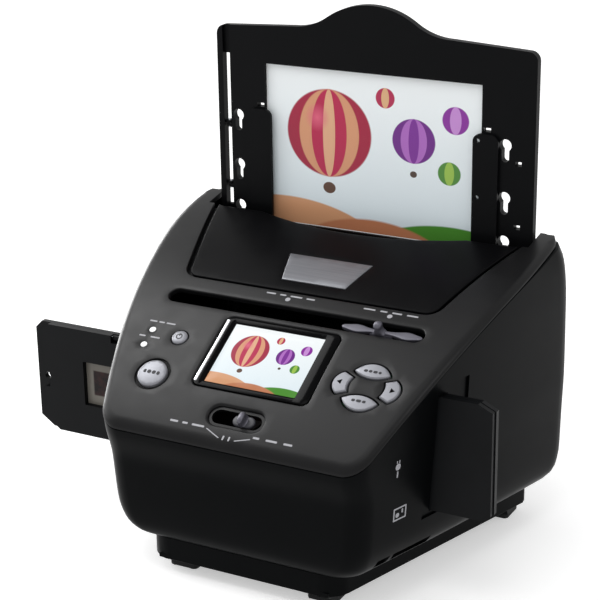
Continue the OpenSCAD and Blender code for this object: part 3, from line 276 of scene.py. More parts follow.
def gloss_black():
    """Clear-coated black acrylic of the display's frame: almost a mirror, with faint dust."""
    made, tree, surface = material("gloss_black_acrylic", Base_Color="#040405", Specular_IOR_Level=0.03)
    dust = add(tree, "MapRange", (object_noise(tree, 1.2, 3), 0.55, 0.75, 0.10, 0.2))
    wire(surface, {"Roughness": dust.outputs["Result"]})
    return made


def brushed_aluminium():
    """Anodised aluminium brushed along X: hair lines 0.3 mm wide, drawn wider than real so they show."""
    made, tree, surface = material("brushed_anodised_aluminium", Metallic=0.75, Roughness=0.42)
    hairs = object_noise(tree, 0.6, 3, 0.7, (0.02, 1, 1))
    tinted(tree, surface, hairs, "#55565a", "#797a7e")
    bumped(tree, surface, hairs, 0.01)
    return made


def turned_steel(name, tone):
    """Drawn or turned steel: fine lines round it and a light oil film."""
    made, tree, surface = material(name, Base_Color=tone, Metallic=1.0)
    gloss = add(tree, "MapRange", (object_noise(tree, 0.4, 2, 0.6, (1, 1, 0.2)), *NOISE_SPAN, 0.22, 0.38))
    wire(surface, {"Roughness": gloss.outputs["Result"]})
    return made


def screen_ink():
    """Pale grey screen-printed ink, a little uneven from the grain below."""
    made, tree, surface = material("pale_screen_ink", Roughness=0.5, Specular_IOR_Level=0.3)
    tinted(tree, surface, object_noise(tree, 0.3), "#8e8e93", "#bdbdc2")
    return made


def circuit_board():
    """Green solder resist over copper tracks 1.2 mm apart."""
    made, tree, surface = material("green_solder_resist", Roughness=0.3)
    tracks = add(tree, "TexBrick", {
        "Vector": add(tree, "TexCoord").outputs["Object"], "Scale": 1 / (2.4 * MM), "Mortar Size": 0.08,
        "Color1": "#14532b", "Color2": "#17602f", "Mortar": "#2b7f48",
    })
    wire(surface, {"Base Color": tracks.outputs["Color"]})
    bumped(tree, surface, tracks.outputs["Fac"], 0.03)
    return made


def lens_glass():
    """Coated optical glass: dark, with a painted violet sheen: its colour turns violet where it is seen
    edge-on, in the place of the coating's reflection.
    """
    made, tree, surface = material("coated_glass_painted_sheen", Roughness=0.03, IOR=1.52)
    # Painted reflection: the base colour goes from dark to violet towards grazing angles, as the coating's
    # reflection would look.
    edge = add(tree, "LayerWeight", {"Blend": 0.35}).outputs["Facing"]
    tinted(tree, surface, edge, "#0b0d1c", "#4b3d7a")
    return made


def light_pipe():
    """Frosted clear polycarbonate, which looks white where it meets the panel."""
    made, tree, surface = material("frosted_polycarbonate", Roughness=0.3, Transmission_Weight=0.15)
    frost = add(tree, "MapRange", (object_noise(tree, 0.5), *NOISE_SPAN, 0.0, 1.0)).outputs["Result"]
    tinted(tree, surface, frost, "#e6e8ea", "#fbfbfb")
    return made


# A made-up view of balloons over hills: centre and half-axes in shares of the picture, colour, softness
PICTURE = (
    (0.10, -0.22, 0.52, 0.40, "#d9a078", 0.02),
    (0.86, -0.30, 0.50, 0.42, "#4f8f35", 0.02),
    (0.50, -0.34, 0.46, 0.44, "#c27f5c", 0.03),
    (0.300, 0.262, 0.030, 0.036, "#5b3d2c", 0.05),
    (0.300, 0.600, 0.200, 0.272, "#a3123a", 0.03),
    (0.300, 0.600, 0.142, 0.272, "#d99a74", 0.03),
    (0.300, 0.600, 0.084, 0.272, "#b8174a", 0.03),
    (0.300, 0.600, 0.029, 0.272, "#e2ad88", 0.03),
    (0.245, 0.690, 0.060, 0.090, "#e0627f", 1.0),
    (0.690, 0.410, 0.016, 0.020, "#4c3a2e", 0.05),
    (0.690, 0.610, 0.098, 0.136, "#6d1f86", 0.03),
    (0.690, 0.610, 0.060, 0.136, "#b06ac2", 0.03),
    (0.690, 0.610, 0.024, 0.136, "#7c2a96", 0.03),
    (0.875, 0.760, 0.060, 0.084, "#8a2a9c", 0.05),
    (0.875, 0.760, 0.026, 0.084, "#c98fd6", 0.05),
    (0.560, 0.850, 0.044, 0.062, "#b3244f", 0.05),
    (0.560, 0.850, 0.018, 0.062, "#e0b184", 0.05),
    (0.850, 0.440, 0.052, 0.072, "#4d8a34", 0.05),
    (0.850, 0.440, 0.022, 0.072, "#9cc24e", 0.05),
)


def picture(tree, margin):
    """Colour of the view in the UV square: ellipses laid over a pale sky, inside a white margin."""
    square = add(tree, "TexCoord").outputs["UV"]
    parts = add(tree, "SeparateXYZ", (square,)).outputs
    layers = [(parts["Y"], "#f8fcfd")]
    for x, y, rx, ry, tone, soft in PICTURE:
        oval = add(tree, "Mapping", {"Vector": square, "Location": (-x / rx, -y / ry, 0),
                                     "Scale": (1 / rx, 1 / ry, 0)}).outputs["Vector"]
        nearness = add(tree, "TexGradient", (oval,), gradient_type="SPHERICAL").outputs["Fac"]
        layers.append((add(tree, "MapRange", (nearness, 0.0, soft, 0.0, 1.0)).outputs["Result"], tone))
    for axis in "XY":
        centred = add(tree, "Math", (parts[axis], 0.5), operation="SUBTRACT").outputs[0]
        apart = add(tree, "Math", (centred,), operation="ABSOLUTE").outputs[0]
        border = add(tree, "Math", (apart, 0.5 - margin), operation="GREATER_THAN").outputs[0]
        layers.append((border, "#fafcfc"))
    result = "#e2eff5"
    for mask, tone in layers:
        layer = add(tree, "Mix", {"Factor": mask, "A": result, "B": tone}, data_type="RGBA")
        result = layer.outputs["Result"]
    return result


def photo_paper():
    """Inkjet print on glossy coated paper."""
    made, tree, surface = material("glossy_photo_paper", Roughness=0.25, Specular_IOR_Level=0.35)
    wire(surface, {"Base Color": picture(tree, 0.012)})
    bumped(tree, surface, object_noise(tree, 3), 0.01)
    return made


def lit_display():
    """Lit colour display behind a clear window: the picture glows through a glossy black surface."""
    made, tree, surface = material("lit_colour_display", Base_Color="#0a0b0c", Roughness=0.12,
                                   Specular_IOR_Level=0.05, Emission_Strength=1.0)
    pixels = add(tree, "MapRange", (object_noise(tree, 0.4, 1), *NOISE_SPAN, 0.97, 1.0)).outputs["Result"]
    shown = add(tree, "Mix", {"Factor": pixels, "A": "#000000", "B": picture(tree, 0.0)}, data_type="RGBA")
    wire(surface, {"Emission Color": shown.outputs["Result"]})
    return made


def negative_film():
    """Colour negative: clear warm-grey base with a dark brown picture in each frame."""
    made, tree, surface = material("colour_negative_film", Roughness=0.2, Specular_IOR_Level=0.15)
    parts = add(tree, "SeparateXYZ", (add(tree, "TexCoord").outputs["UV"],)).outputs
    across = add(tree, "Math", (parts["X"], 1.0), operation="MODULO").outputs[0]
    framed = 1.0
    for value, low, high in ((across, 0.13, 0.87), (parts["Y"], 0.30, 0.70)):
        for edge, before, after in ((low, 0.0, 1.0), (high, 1.0, 0.0)):
            mask = add(tree, "MapRange", (value, edge - 0.01, edge + 0.01, before, after))
            framed = add(tree, "Math", (framed, mask.outputs["Result"]), operation="MULTIPLY").outputs[0]
    grain = add(tree, "MapRange", (object_noise(tree, 5), 0.4, 0.6, 0.0, 1.0)).outputs["Result"]
    shade = add(tree, "Mix", {"Factor": grain, "A": "#120a0b", "B": "#2e1716"}, data_type="RGBA")
    tinted(tree, surface, framed, "#77736c", shade.outputs["Result"])
    return made


GLOSS = gloss_black()
ALUMINIUM = brushed_aluminium()
STEEL = turned_steel("turned_steel", "#b9bbbf")
DARK_STEEL = turned_steel("blackened_steel", "#4a4b4f")
INK = screen_ink()
DARK_INK = moulded("dark_screen_ink", "#232327", "#2c2c30", 0.5, 0.3, 0.002, 0.2)
BOARD = circuit_board()
GLASS = lens_glass()
PIPE = light_pipe()
PAPER = photo_paper()
DISPLAY = lit_display()
FILM = negative_film()


# ---------------------------------------------------------------- meshes

def placed(name, data):
    """A new object in the scene."""
    made = bpy.data.objects.new(name, data)
    bpy.context.scene.collection.objects.link(made)
    return made


def mounted(made, body, nodes):
    """Lets a piece ride on a body and stand for CAD nodes, which it hides."""
    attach(made, body)
    if nodes:
        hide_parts(*nodes)


def piece(name, points, faces, finish, body="casing", stands_for=(), sharp=38, uv=None):
    """A mesh object from points in millimetres; faces are arrays of corner indices."""
    mesh = bpy.data.meshes.new(name)
    corners = [face for block in faces for face in np.asarray(block).tolist()]
    mesh.from_pydata((np.asarray(points) * MM).tolist(), [], corners)
    mesh.validate()
    mesh.shade_smooth()
    mesh.set_sharp_from_angle(angle=math.radians(sharp))
    if uv is not None:
        layer = mesh.uv_layers.new(name="UVMap")
        corner_points = np.zeros(len(mesh.loops), int)
        mesh.loops.foreach_get("vertex_index", corner_points)
        layer.data.foreach_set("uv", np.asarray(uv)[corner_points].astype(np.float32).ravel())
    made = placed(name, mesh)
    mesh.materials.append(finish)
    mounted(made, body, stands_for)
    return made


def offset(loop, distance):
    """Moves each point of a closed loop to its left by distance, along the mitre of its two sides."""
    before = loop - np.roll(loop, 1, 0)
    after = np.roll(loop, -1, 0) - loop
    left = [np.stack([-v[:, 1], v[:, 0]], 1) / np.linalg.norm(v, axis=1)[:, None] for v in (before, after)]
    mitre = left[0] + left[1]
    mitre /= np.maximum(1 + (left[0] * left[1]).sum(1), 0.3)[:, None]
    return loop + mitre * np.asarray(distance).reshape(-1, 1)


def inside(points, loops):
    """Which points lie inside an odd number of loops: each loop's edges that pass above are counted."""
    crossings = np.zeros(len(points), int)
    for loop in loops:
        a, b = loop, np.roll(loop, -1, 0)
        spans = (a[:, 0] > points[:, None, 0]) != (b[:, 0] > points[:, None, 0])
        step = np.where(b[:, 0] == a[:, 0], 1, b[:, 0] - a[:, 0])
        height = a[:, 1] + (points[:, None, 0] - a[:, 0]) * (b[:, 1] - a[:, 1]) / step
        crossings += (spans & (height > points[:, None, 1])).sum(1)
    return crossings % 2 == 1


def fill(loops, spacing):
    """Triangles over the region between loops, with a square grid of extra points inside it.
    Returns the grid points and the triangles; corners count through the loops first, then the grid."""
    rim = np.vstack(loops)
    low, high = rim.min(0), rim.max(0)
    axes = [np.arange(low[i] + spacing / 2, high[i], spacing) for i in (0, 1)]
    grid = np.stack(np.meshgrid(*axes, indexing="ij"), -1).reshape(-1, 2)
    grid = grid[inside(grid, loops)]
    if len(grid):
        gap = np.concatenate([
            np.linalg.norm(part[:, None] - rim[None], axis=2).min(1)
            for part in np.array_split(grid, 1 + len(grid) // 400)
        ])
        grid = grid[gap > 0.55 * spacing]
    points = np.vstack([rim, grid])
    edges, start = [], 0
    for loop in loops:
        index = np.arange(len(loop))
        edges += (np.stack([index, np.roll(index, -1)], 1) + start).tolist()
        start += len(loop)
    made = delaunay_2d_cdt(points.tolist(), edges, [], 0, 1e-7)
    origin = np.array([sources[0] for sources in made[3]])
    triangles = origin[np.array(made[2])]
    centres = points[triangles].mean(1)
    triangles = triangles[inside(centres, loops)]
    a, b, c = (points[triangles[:, i]] for i in range(3))
    turned = (b - a)[:, 0] * (c - a)[:, 1] - (b - a)[:, 1] * (c - a)[:, 0] < 0
    triangles[turned] = triangles[turned][:, ::-1]
    return grid, triangles


def rounded(radius, thickness, chamfer=0.25, steps=4, fall=None):
    """Edge profile as (inset, depth) pairs: a quarter circle at the top, a wall, a chamfer below.
    The radius may be one value or one per loop point; with a fall the quarter is an oval that deep."""
    fall = radius if fall is None else fall
    angles = np.linspace(0, math.pi / 2, steps + 1)
    pairs = [(radius * (1 - math.sin(a)), fall * (1 - math.cos(a))) for a in angles]
    return pairs + [(0, thickness - chamfer), (chamfer, thickness)]


def plate(name, loops, profiles, surface, finish, body="casing", stands_for=(), spacing=4.0, downs=None,
          crown=None, uv=None):
    """A plate bounded by loops (outer one anticlockwise, holes clockwise) on a surface of two parameters.
    Each loop's wall follows its profile of (inset, depth) pairs from the top skin to the lower one.
    surface(points) gives places and normals; downs may give a loop another way down than the normal;
    crown(points) lifts the top skin along the normal."""
    tops = [offset(loop, profile[0][0]) for loop, profile in zip(loops, profiles)]
    grid, triangles = fill(tops, spacing)
    blocks, flat, faces, firsts, lasts = [], [], [], [], []
    start = 0
    lift = crown or (lambda p: np.zeros(len(p)))
    for number, (loop, profile) in enumerate(zip(loops, profiles)):
        count = len(loop)
        for row, (inset, depth) in enumerate(profile):
            ring = offset(loop, inset) if np.any(inset) else loop
            place, normal = surface(ring)
            down = -normal if downs is None or downs[number] is None else downs[number](ring, normal)
            height = lift(ring) if row == 0 else 0
            depth, height = (np.asarray(v).reshape(-1, 1) for v in (depth, height))
            blocks.append(place + depth * down + height * normal)
            flat.append(ring)
            if row:
                near = start + (row - 1) * count + np.arange(count)
                far = near + count
                faces.append(np.stack([near, far, np.roll(far, -1), np.roll(near, -1)], 1))
        firsts.append(start + np.arange(count))
        lasts.append(start + (len(profile) - 1) * count + np.arange(count))
        start += count * len(profile)
    place, normal = surface(grid) if len(grid) else (np.zeros((0, 3)), np.zeros((0, 3)))
    thickness = np.max(profiles[0][-1][1]) if np.ndim(profiles[0][-1][1]) == 0 else np.min(profiles[0][-1][1])
    blocks += [place + lift(grid)[:, None] * normal, place - thickness * normal]
    flat += [grid, grid]
    top = np.concatenate(firsts + [start + np.arange(len(grid))])
    bottom = np.concatenate(lasts + [start + len(grid) + np.arange(len(grid))])
    faces += [top[triangles], bottom[triangles[:, ::-1]]]
    square = None if uv is None else uv(np.vstack(flat))
    return piece(name, np.vstack(blocks), faces, finish, body, stands_for, uv=square)


def cut(target, points, faces):
    """Takes a closed cutter out of a piece."""
    cutter = piece("cutter", points, faces, CASING)
    change = target.modifiers.new("cut", "BOOLEAN")
    change.object = cutter
    change.operation = "DIFFERENCE"
    change.solver = "MANIFOLD"
    result = bpy.data.meshes.new_from_object(target.evaluated_get(bpy.context.evaluated_depsgraph_get()))
    target.modifiers.clear()
    target.data = result
    result.shade_smooth()
    result.set_sharp_from_angle(angle=math.radians(30))
    bpy.data.objects.remove(cutter)


def box_mesh(low, high):
    """Corners and outward faces of a box."""
    corners = np.array([[x, y, z] for x in (low[0], high[0]) for y in (low[1], high[1])
                        for z in (low[2], high[2])])
    faces = [[0, 1, 3, 2], [4, 6, 7, 5], [0, 4, 5, 1], [2, 3, 7, 6], [0, 2, 6, 4], [1, 5, 7, 3]]
    return corners, [faces]


def tube_mesh(rings):
    """Closed solid through rings of points, with flat ends."""
    rings = np.asarray(rings, float)
    rows, count = rings.shape[:2]
    near = (np.arange(rows - 1)[:, None] * count + np.arange(count)).ravel()
    after = (np.arange(rows - 1)[:, None] * count + np.roll(np.arange(count), -1)).ravel()
    walls = np.stack([near, after, after + count, near + count], 1)
    ends = [list(range(count))[::-1], [(rows - 1) * count + i for i in range(count)]]
    return rings.reshape(-1, 3), [walls, [ends[0]], [ends[1]]]


def softened(node, width, finish):
    """A copy of a CAD node, merged, with its edges rounded by width. It stands for the node."""
    mesh = bpy.data.meshes.new(node + "_softened")
    work = bmesh.new()
    work.from_mesh(NODES[node].data)
    bmesh.ops.remove_doubles(work, verts=work.verts, dist=2e-6)
    work.to_mesh(mesh)
    work.free()
    for old in [a for a in mesh.attributes if a.name in ("custom_normal", "sharp_edge", "sharp_face")]:
        mesh.attributes.remove(old)
    mesh.shade_smooth()
    mesh.materials.clear()
    mesh.materials.append(finish)
    made = placed(mesh.name, mesh)
    bevel = made.modifiers.new("edges", "BEVEL")
    bevel.width = width * MM
    bevel.segments = 2
    bevel.limit_method = "ANGLE"
    bevel.angle_limit = math.radians(40)
    bevel.use_clamp_overlap = False
    made.modifiers.new("normals", "WEIGHTED_NORMAL").keep_sharp = True
    mounted(made, BODY_OF[node], (node,))


def dressed(finish, *nodes):
    """Gives CAD nodes their finish."""
    for node in nodes:
        for place in NODES[node].material_slots:
            place.material = finish


# ---------------------------------------------------------------- shapes of the casing

def top_z(y):
    """Height of the curved top at depth y."""
    return TOP_CZ + np.sqrt(TOP_R ** 2 - (y - TOP_CY) ** 2)


def along(y):
    """Length along the curved top surface from the film plane to depth y."""
    return TOP_R * (math.asin(TOP_CY / TOP_R) - np.arcsin((TOP_CY - np.asarray(y, float)) / TOP_R))


def top_surface(drop=0.0):
    """Surface function of the curved top, lowered by drop: parameters are X and the length along it."""
    def surface(points):
        lean = math.asin(TOP_CY / TOP_R) - points[:, 1] / TOP_R
        normal = np.stack([np.zeros(len(points)), -np.sin(lean), np.cos(lean)], 1)
        centre = np.stack([points[:, 0], np.full(len(points), TOP_CY), np.full(len(points), TOP_CZ)], 1)
        return centre + (TOP_R - drop) * normal, normal
    return surface


def flat_surface(origin, right, up):
    """Surface function of a plane with its two directions; its normal is right cross up."""
    origin, right, up = (np.asarray(v, float) for v in (origin, right, up))
    normal = np.cross(right, up)

    def surface(points):
        return origin + points[:, :1] * right + points[:, 1:] * up, np.tile(normal, (len(points), 1))
    return surface


def section_at(z):
    """Section values at heights z: a cubic between sections, whose slope at each is the harmonic mean of
    the slopes beside it, or zero where they turn, so that it never overshoots."""
    heights, values = SECTIONS[:, 0], SECTIONS[:, 1:]
    step = np.diff(heights)
    slope = np.diff(values, axis=0) / step[:, None]
    same = slope[1:] * slope[:-1] > 0
    mean = np.where(same, 2 * slope[1:] * slope[:-1] / np.where(same, slope[1:] + slope[:-1], 1), 0)
    tangent = np.vstack([slope[:1], mean, slope[-1:]])
    z = np.clip(z, heights[0], heights[-1])
    i = np.clip(np.searchsorted(heights, z, side="right") - 1, 0, len(step) - 1)
    t = ((z - heights[i]) / step[i])[..., None]
    spread = step[i][..., None]
    return (values[i] * (1 + 2 * t) * (1 - t) ** 2 + values[i + 1] * t ** 2 * (3 - 2 * t)
            + spread * (tangent[i] * t * (1 - t) ** 2 - tangent[i + 1] * t ** 2 * (1 - t)))


def side_at(y, front, middle, rear):
    """Half-width at depth y of the curve through the half-widths at the three stations."""
    s1 = (middle - front) / -STATION_FRONT
    s2 = (rear - middle) / STATION_REAR
    bend = (s2 - s1) / (STATION_REAR - STATION_FRONT)
    return front + s1 * (y - STATION_FRONT) + bend * (y - STATION_FRONT) * y


def widths(z, inset):
    """Half-widths at the stations, depths of the front and rear faces, and rear radius at heights z."""
    v = section_at(z)
    return (HALF_FRONT - v[..., 2] - inset, HALF_MID - v[..., 3] - inset, HALF_REAR - v[..., 4] - inset,
            FRONT_Y + v[..., 0] + inset, REAR_Y - v[..., 1] - inset, CORNER_REAR + v[..., 5] - inset)


def side_x(y, z, inset=0.0):
    """Half-width of the casing at depth y and height z behind its front corner."""
    front, middle, rear, _, y1, rr = widths(z, inset)
    centre = side_at(y1 - rr, front, middle, rear) - rr
    behind = np.clip(y - (y1 - rr), 0, rr)
    return np.where(behind > 0, centre + np.sqrt(rr ** 2 - behind ** 2), side_at(y, front, middle, rear))


STEPS_FRONT, STEPS_CORNER, STEPS_SIDE = 18, 16, 44


def front_path(z, inset=0.0):
    """Right half of the casing's outline, from the middle of the front round the corner to the seam:
    a straight front, an arc tangent to the side, and the side's curve. z has one column per point."""
    front, middle, rear, y0, y1, _ = widths(z, inset)
    rf = CORNER_FRONT - inset
    ahead = side_at(y0 + rf, front, middle, rear)
    lean = np.arctan(side_at(y0 + rf + 1, front, middle, rear) - ahead)
    centre = ahead - rf / np.cos(lean)
    g1 = np.arange(STEPS_FRONT) / STEPS_FRONT
    g2 = np.arange(STEPS_CORNER) / STEPS_CORNER
    g3 = np.linspace(0, 1, STEPS_SIDE)
    share = np.concatenate([g1, g2, g3])
    zone = np.concatenate([np.zeros(len(g1)), np.ones(len(g2)), np.full(len(g3), 2)])
    angle = -math.pi / 2 + share * (math.pi / 2 - lean)
    y_side = y0 + rf - rf * np.sin(lean)
    y_end = np.minimum(SEAM_Y - SEAM_GAP, y1)
    y_run = y_side + share * (y_end - y_side)
    x = np.where(zone == 1, centre + rf * np.cos(angle), side_x(y_run, z, inset))
    y = np.where(zone == 1, y0 + rf + rf * np.sin(angle), y_run)
    x, y = np.where(zone == 0, share * centre, x), np.where(zone == 0, y0, y)
    return np.stack(np.broadcast_arrays(x, y, z), -1)


def both_halves(right):
    """Adds the mirrored left half in front of a right half that starts in the middle."""
    left = right[..., :0:-1, :] * np.array([-1, 1, 1])
    return np.concatenate([left, right], -2)


def below_top(path, drop, start=110.0, steps=25):
    """Outline points that lie drop below the top surface: the height is found by repeated steps."""
    z = np.full((1, path(np.array([[start]])).shape[-2]), start)
    for _ in range(steps):
        points = path(z)
        lean = np.arcsin((TOP_CY - points[..., 1]) / TOP_R)
        z = top_z(points[..., 1]) - drop / np.cos(lean)
    return points[0]


STEPS_ROUND, STEPS_BACK = 18, 26


def rear_path(z, inset=0.0):
    """Right half of the rear cover's outline, from the seam round the corner to the middle of the back."""
    front, middle, rear, _, y1, rr = widths(z, inset)
    centre = side_at(y1 - rr, front, middle, rear) - rr
    begin = np.arcsin(np.clip((SEAM_Y + SEAM_GAP - (y1 - rr)) / rr, 0, 1))
    share = np.concatenate([np.arange(STEPS_ROUND) / STEPS_ROUND, np.linspace(0, 1, STEPS_BACK)])
    on_arc = np.arange(len(share)) < STEPS_ROUND
    angle = begin + share * (math.pi / 2 - begin)
    x = np.where(on_arc, centre + rr * np.cos(angle), centre * (1 - share))
    y = np.where(on_arc, y1 - rr + rr * np.sin(angle), y1)
    return np.stack(np.broadcast_arrays(x, y, z), -1)


def shell(name, profile, node):
    """A casing shell that stands for a CAD node: a closed profile carried along stations, with faces
    across it at both ends."""
    rows, count = profile.shape[:2]
    index = np.arange(rows * count).reshape(rows, count)
    below = np.roll(index, -1, 0)
    walls = np.stack([index[:, :-1], below[:, :-1], below[:, 1:], index[:, 1:]], -1).reshape(-1, 4)
    pairs = np.arange(rows // 2 - 1)
    first, last = index[:, 0], index[:, -1]
    begin = np.stack([first[pairs], first[rows - 1 - pairs], first[rows - 2 - pairs], first[pairs + 1]], 1)
    end = np.stack([last[pairs], last[pairs + 1], last[rows - 2 - pairs], last[rows - 1 - pairs]], 1)
    return piece(name, profile.reshape(-1, 3), [walls, begin, end], CASING, stands_for=(node,))


# ---------------------------------------------------------------- lower casing

# Rows of the shells: close together at the plinth, then even from LOW_TOP up to the upper edge
LOW_TOP = 40
LOW_HEIGHTS = np.array([20, 20.6, 21.3, 22.1, 23, 24.2, 25.6, 27.2, 29, 31, 33.5, 36.5])[::-1, None]
UPPER_EDGE = 0.35


def housing():
    """Lower shell: rows of outlines from just below the panel down to the plinth, and back up inside."""
    upper = below_top(front_path, PANEL_T + SEAM_GAP)[:, 2]
    high = LOW_TOP + np.linspace(1, 0, 20)[:, None] * (upper - UPPER_EDGE - LOW_TOP)
    heights = np.vstack([upper, high, np.tile(LOW_HEIGHTS, (1, len(upper)))])
    outer, inner = front_path(heights), front_path(heights, WALL)
    outer[0] = front_path(heights[:1], UPPER_EDGE)[0]
    inner[:, :, 2] = np.maximum(inner[:, :, 2], CASING_LOW + WALL * 0.4)
    inner[-1, :, 2] = CASING_LOW
    made = shell("lower_casing", both_halves(np.concatenate([outer, inner[::-1]])), "main_housing")
    cut(made, *box_mesh((-130, -CHANNEL_Y, CHANNEL_LOW), (130, CHANNEL_Y, CHANNEL_HIGH)))
    for side in (-1, 1):
        cut(made, *recess_cutter(side))
    for y, width, height in ((USB_Y, USB_W, USB_H), (CARD_Y, CARD_W, CARD_T)):
        cut(made, *box_mesh((SOCKET_X, y - width / 2 - SOCKET_GAP, SOCKET_Z - SOCKET_GAP),
                            (100, y + width / 2 + SOCKET_GAP, SOCKET_Z + height + SOCKET_GAP)))


def recess_cutter(side):
    """Block whose inner face follows the casing's side at the recess depth."""
    y = np.linspace(RECESS_FRONT, RECESS_REAR, 15)
    z = np.linspace(RECESS_LOW, RECESS_HIGH, 20)
    grid_y, grid_z = np.meshgrid(y, z, indexing="ij")
    inner = side_x(grid_y, grid_z) - RECESS_DEPTH
    near, far = (np.stack([x, grid_y, grid_z], -1) for x in (inner, inner + 8))
    points, faces = tube_mesh(np.concatenate([near, far[:, ::-1]], 1) * (side, 1, 1))
    if side < 0:
        faces = [np.asarray(block)[:, ::-1] for block in faces]
    return points, faces


def rear_casing():
    """Rear cover: outline rows with a rounded upper edge, and a top that runs straight to the seam."""
    edge = below_top(rear_path, 0.0)
    lean = np.arcsin((TOP_CY - edge[:, 1]) / TOP_R)
    normal_top = np.stack([np.zeros(len(edge)), -np.sin(lean), np.cos(lean)], 1)
    step = np.gradient(edge[:, :2], axis=0)
    outward = np.stack([step[:, 1], -step[:, 0], np.zeros(len(edge))], 1)
    outward /= np.linalg.norm(outward, axis=1)[:, None]
    outward[-1] = (0, 1, 0)
    outward *= np.where(outward[:, 1] + outward[:, 0] < 0, -1, 1)[:, None]
    radius = (REAR_ROUND + (BACK_ROUND - REAR_ROUND) * outward[:, 1] ** 2)[:, None]
    both = (normal_top * outward).sum(1)[:, None]
    centre = edge - radius * (normal_top + outward) / (1 + both)
    spread = np.arccos(np.clip(both, -1, 1))
    share = np.linspace(0, 1, 10)[:, None, None]
    mixed = np.sin((1 - share) * spread) * normal_top + np.sin(share * spread) * outward
    arcs = centre + radius * mixed / np.sin(spread)
    seam_y = SEAM_Y + SEAM_GAP
    arcs[..., 1] = np.maximum(arcs[..., 1], seam_y)
    seam = arcs[0].copy()
    seam[:, 1] = seam_y
    seam[:, 2] = np.minimum(top_z(seam[:, 1]), arcs[0][:, 2] + 0.4)
    upper = arcs[-1][:, 2]
    high = LOW_TOP + np.linspace(1, 0, 18)[1:, None] * (upper - LOW_TOP)
    heights = np.vstack([high, np.tile(LOW_HEIGHTS, (1, len(upper)))])
    outer = np.concatenate([[seam], arcs, rear_path(heights)])
    inner = rear_path(np.vstack([np.tile(upper, (len(arcs) + 1, 1)), heights]), WALL)
    inner[:, :, 1] = np.maximum(inner[:, :, 1], seam_y)
    share = np.linspace(0, 1, len(arcs) + 1)[:, None]
    below_seam = seam[:, 2] - REAR_TOP_T
    inner[:len(arcs) + 1, :, 2] = below_seam - share * (below_seam - upper)
    inner[0, :, 1] = seam_y
    inner[-1, :, 2] = CASING_LOW
    profile = both_halves(np.concatenate([outer, inner[::-1]])[:, ::-1])[:, ::-1]
    made = shell("rear_casing", profile, "rear_cover")
    cut(made, *box_mesh((-TRAY_SLOT_HALF, SEAM_Y - 5, REAR_NOTCH_Z), (TRAY_SLOT_HALF, REAR_Y + 5, 200)))
    for x in VENT_PITCH * np.arange(-6, 7):
        cut(made, *box_mesh((x - VENT_W / 2, REAR_Y - WALL - 2, VENT_LOW),
                            (x + VENT_W / 2, REAR_Y + 2, VENT_HIGH)))
    turn = np.linspace(0, 2 * math.pi, 33)[:-1]
    for x in (-REAR_SCREW_X, REAR_SCREW_X):
        for z in REAR_SCREW_ZS:
            rings = [np.stack([x + SEAT_R * np.cos(turn), np.full(32, y), z - SEAT_R * np.sin(turn)], 1)
                     for y in (REAR_Y - SEAT_DEPTH, REAR_Y + 6)]
            cut(made, *tube_mesh(rings))


# ---------------------------------------------------------------- outlines of the panel's openings

MIRROR = np.array([-1, 1])


def on_top(x, y):
    """X and the length along the top surface, of a point at depth y."""
    return np.array([x, float(along(y))])


def circle(x, y, r, count=48):
    """Clockwise circle on the top surface round a point at depth y."""
    turn = -np.linspace(0, 2 * math.pi, count + 1)[:-1]
    return on_top(x, y) + r * np.stack([np.cos(turn), np.sin(turn)], 1)


def arc(cx, cy, r, start, end, count):
    """Points on a circle round (cx, cy) from one angle to another, in degrees."""
    angle = np.radians(np.linspace(start, end, count))
    return np.stack([cx + r * np.cos(angle), cy + r * np.sin(angle)], 1)


def straight(a, b, count):
    """Points between a and b, without its ends."""
    share = np.linspace(0, 1, count + 2)[1:-1, None]
    return np.asarray(a) + share * (np.asarray(b) - np.asarray(a))


def rectangle(w, h, r, steps=7, side=12):
    """Anticlockwise rectangle with round corners and points along its sides."""
    corners = [arc(sx * (w / 2 - r), sy * (h / 2 - r), r, a, a + 90, steps)
               for sx, sy, a in ((1, -1, -90), (1, 1, 0), (-1, 1, 90), (-1, -1, 180))]
    return np.vstack([part for corner, after in zip(corners, corners[1:] + corners[:1])
                      for part in (corner, straight(corner[-1], after[0], side))])


def stadium(length, width, steps=13, side=30):
    """Anticlockwise slot outline with round ends."""
    half = (length - width) / 2
    right = arc(half, 0, width / 2, -90, 90, steps)
    left = arc(-half, 0, width / 2, 90, 270, steps)
    run = np.linspace(half, -half, side + 2)[1:-1]
    upper = np.stack([run, np.full(side, width / 2)], 1)
    return np.vstack([right, upper, left, -upper])


def moved(loop, x, y):
    """Moves a loop from the origin to X and depth y on the top surface."""
    return loop + on_top(x, y)


def turned(loop, angle):
    """Turns a loop anticlockwise round the origin, by an angle in radians."""
    return loop @ np.array([[math.cos(angle), math.sin(angle)], [-math.sin(angle), math.cos(angle)]])


# Upper and lower navigation buttons: heights of their tips and inner sides, as shares of NAV_B. Side ones:
# radii of their outer and inner arcs, as shares of NAV_A, then the inner arc's middle and the slanting
# lines' distance and slope.
PETAL_TIP, PETAL_INNER = 0.6, 0.38
SIDE_OUTER, SIDE_INNER = 0.42, 0.57
HUB_MIDDLE, SIDE_GAP, SIDE_SLOPE = -0.4, 0.55, 0.44


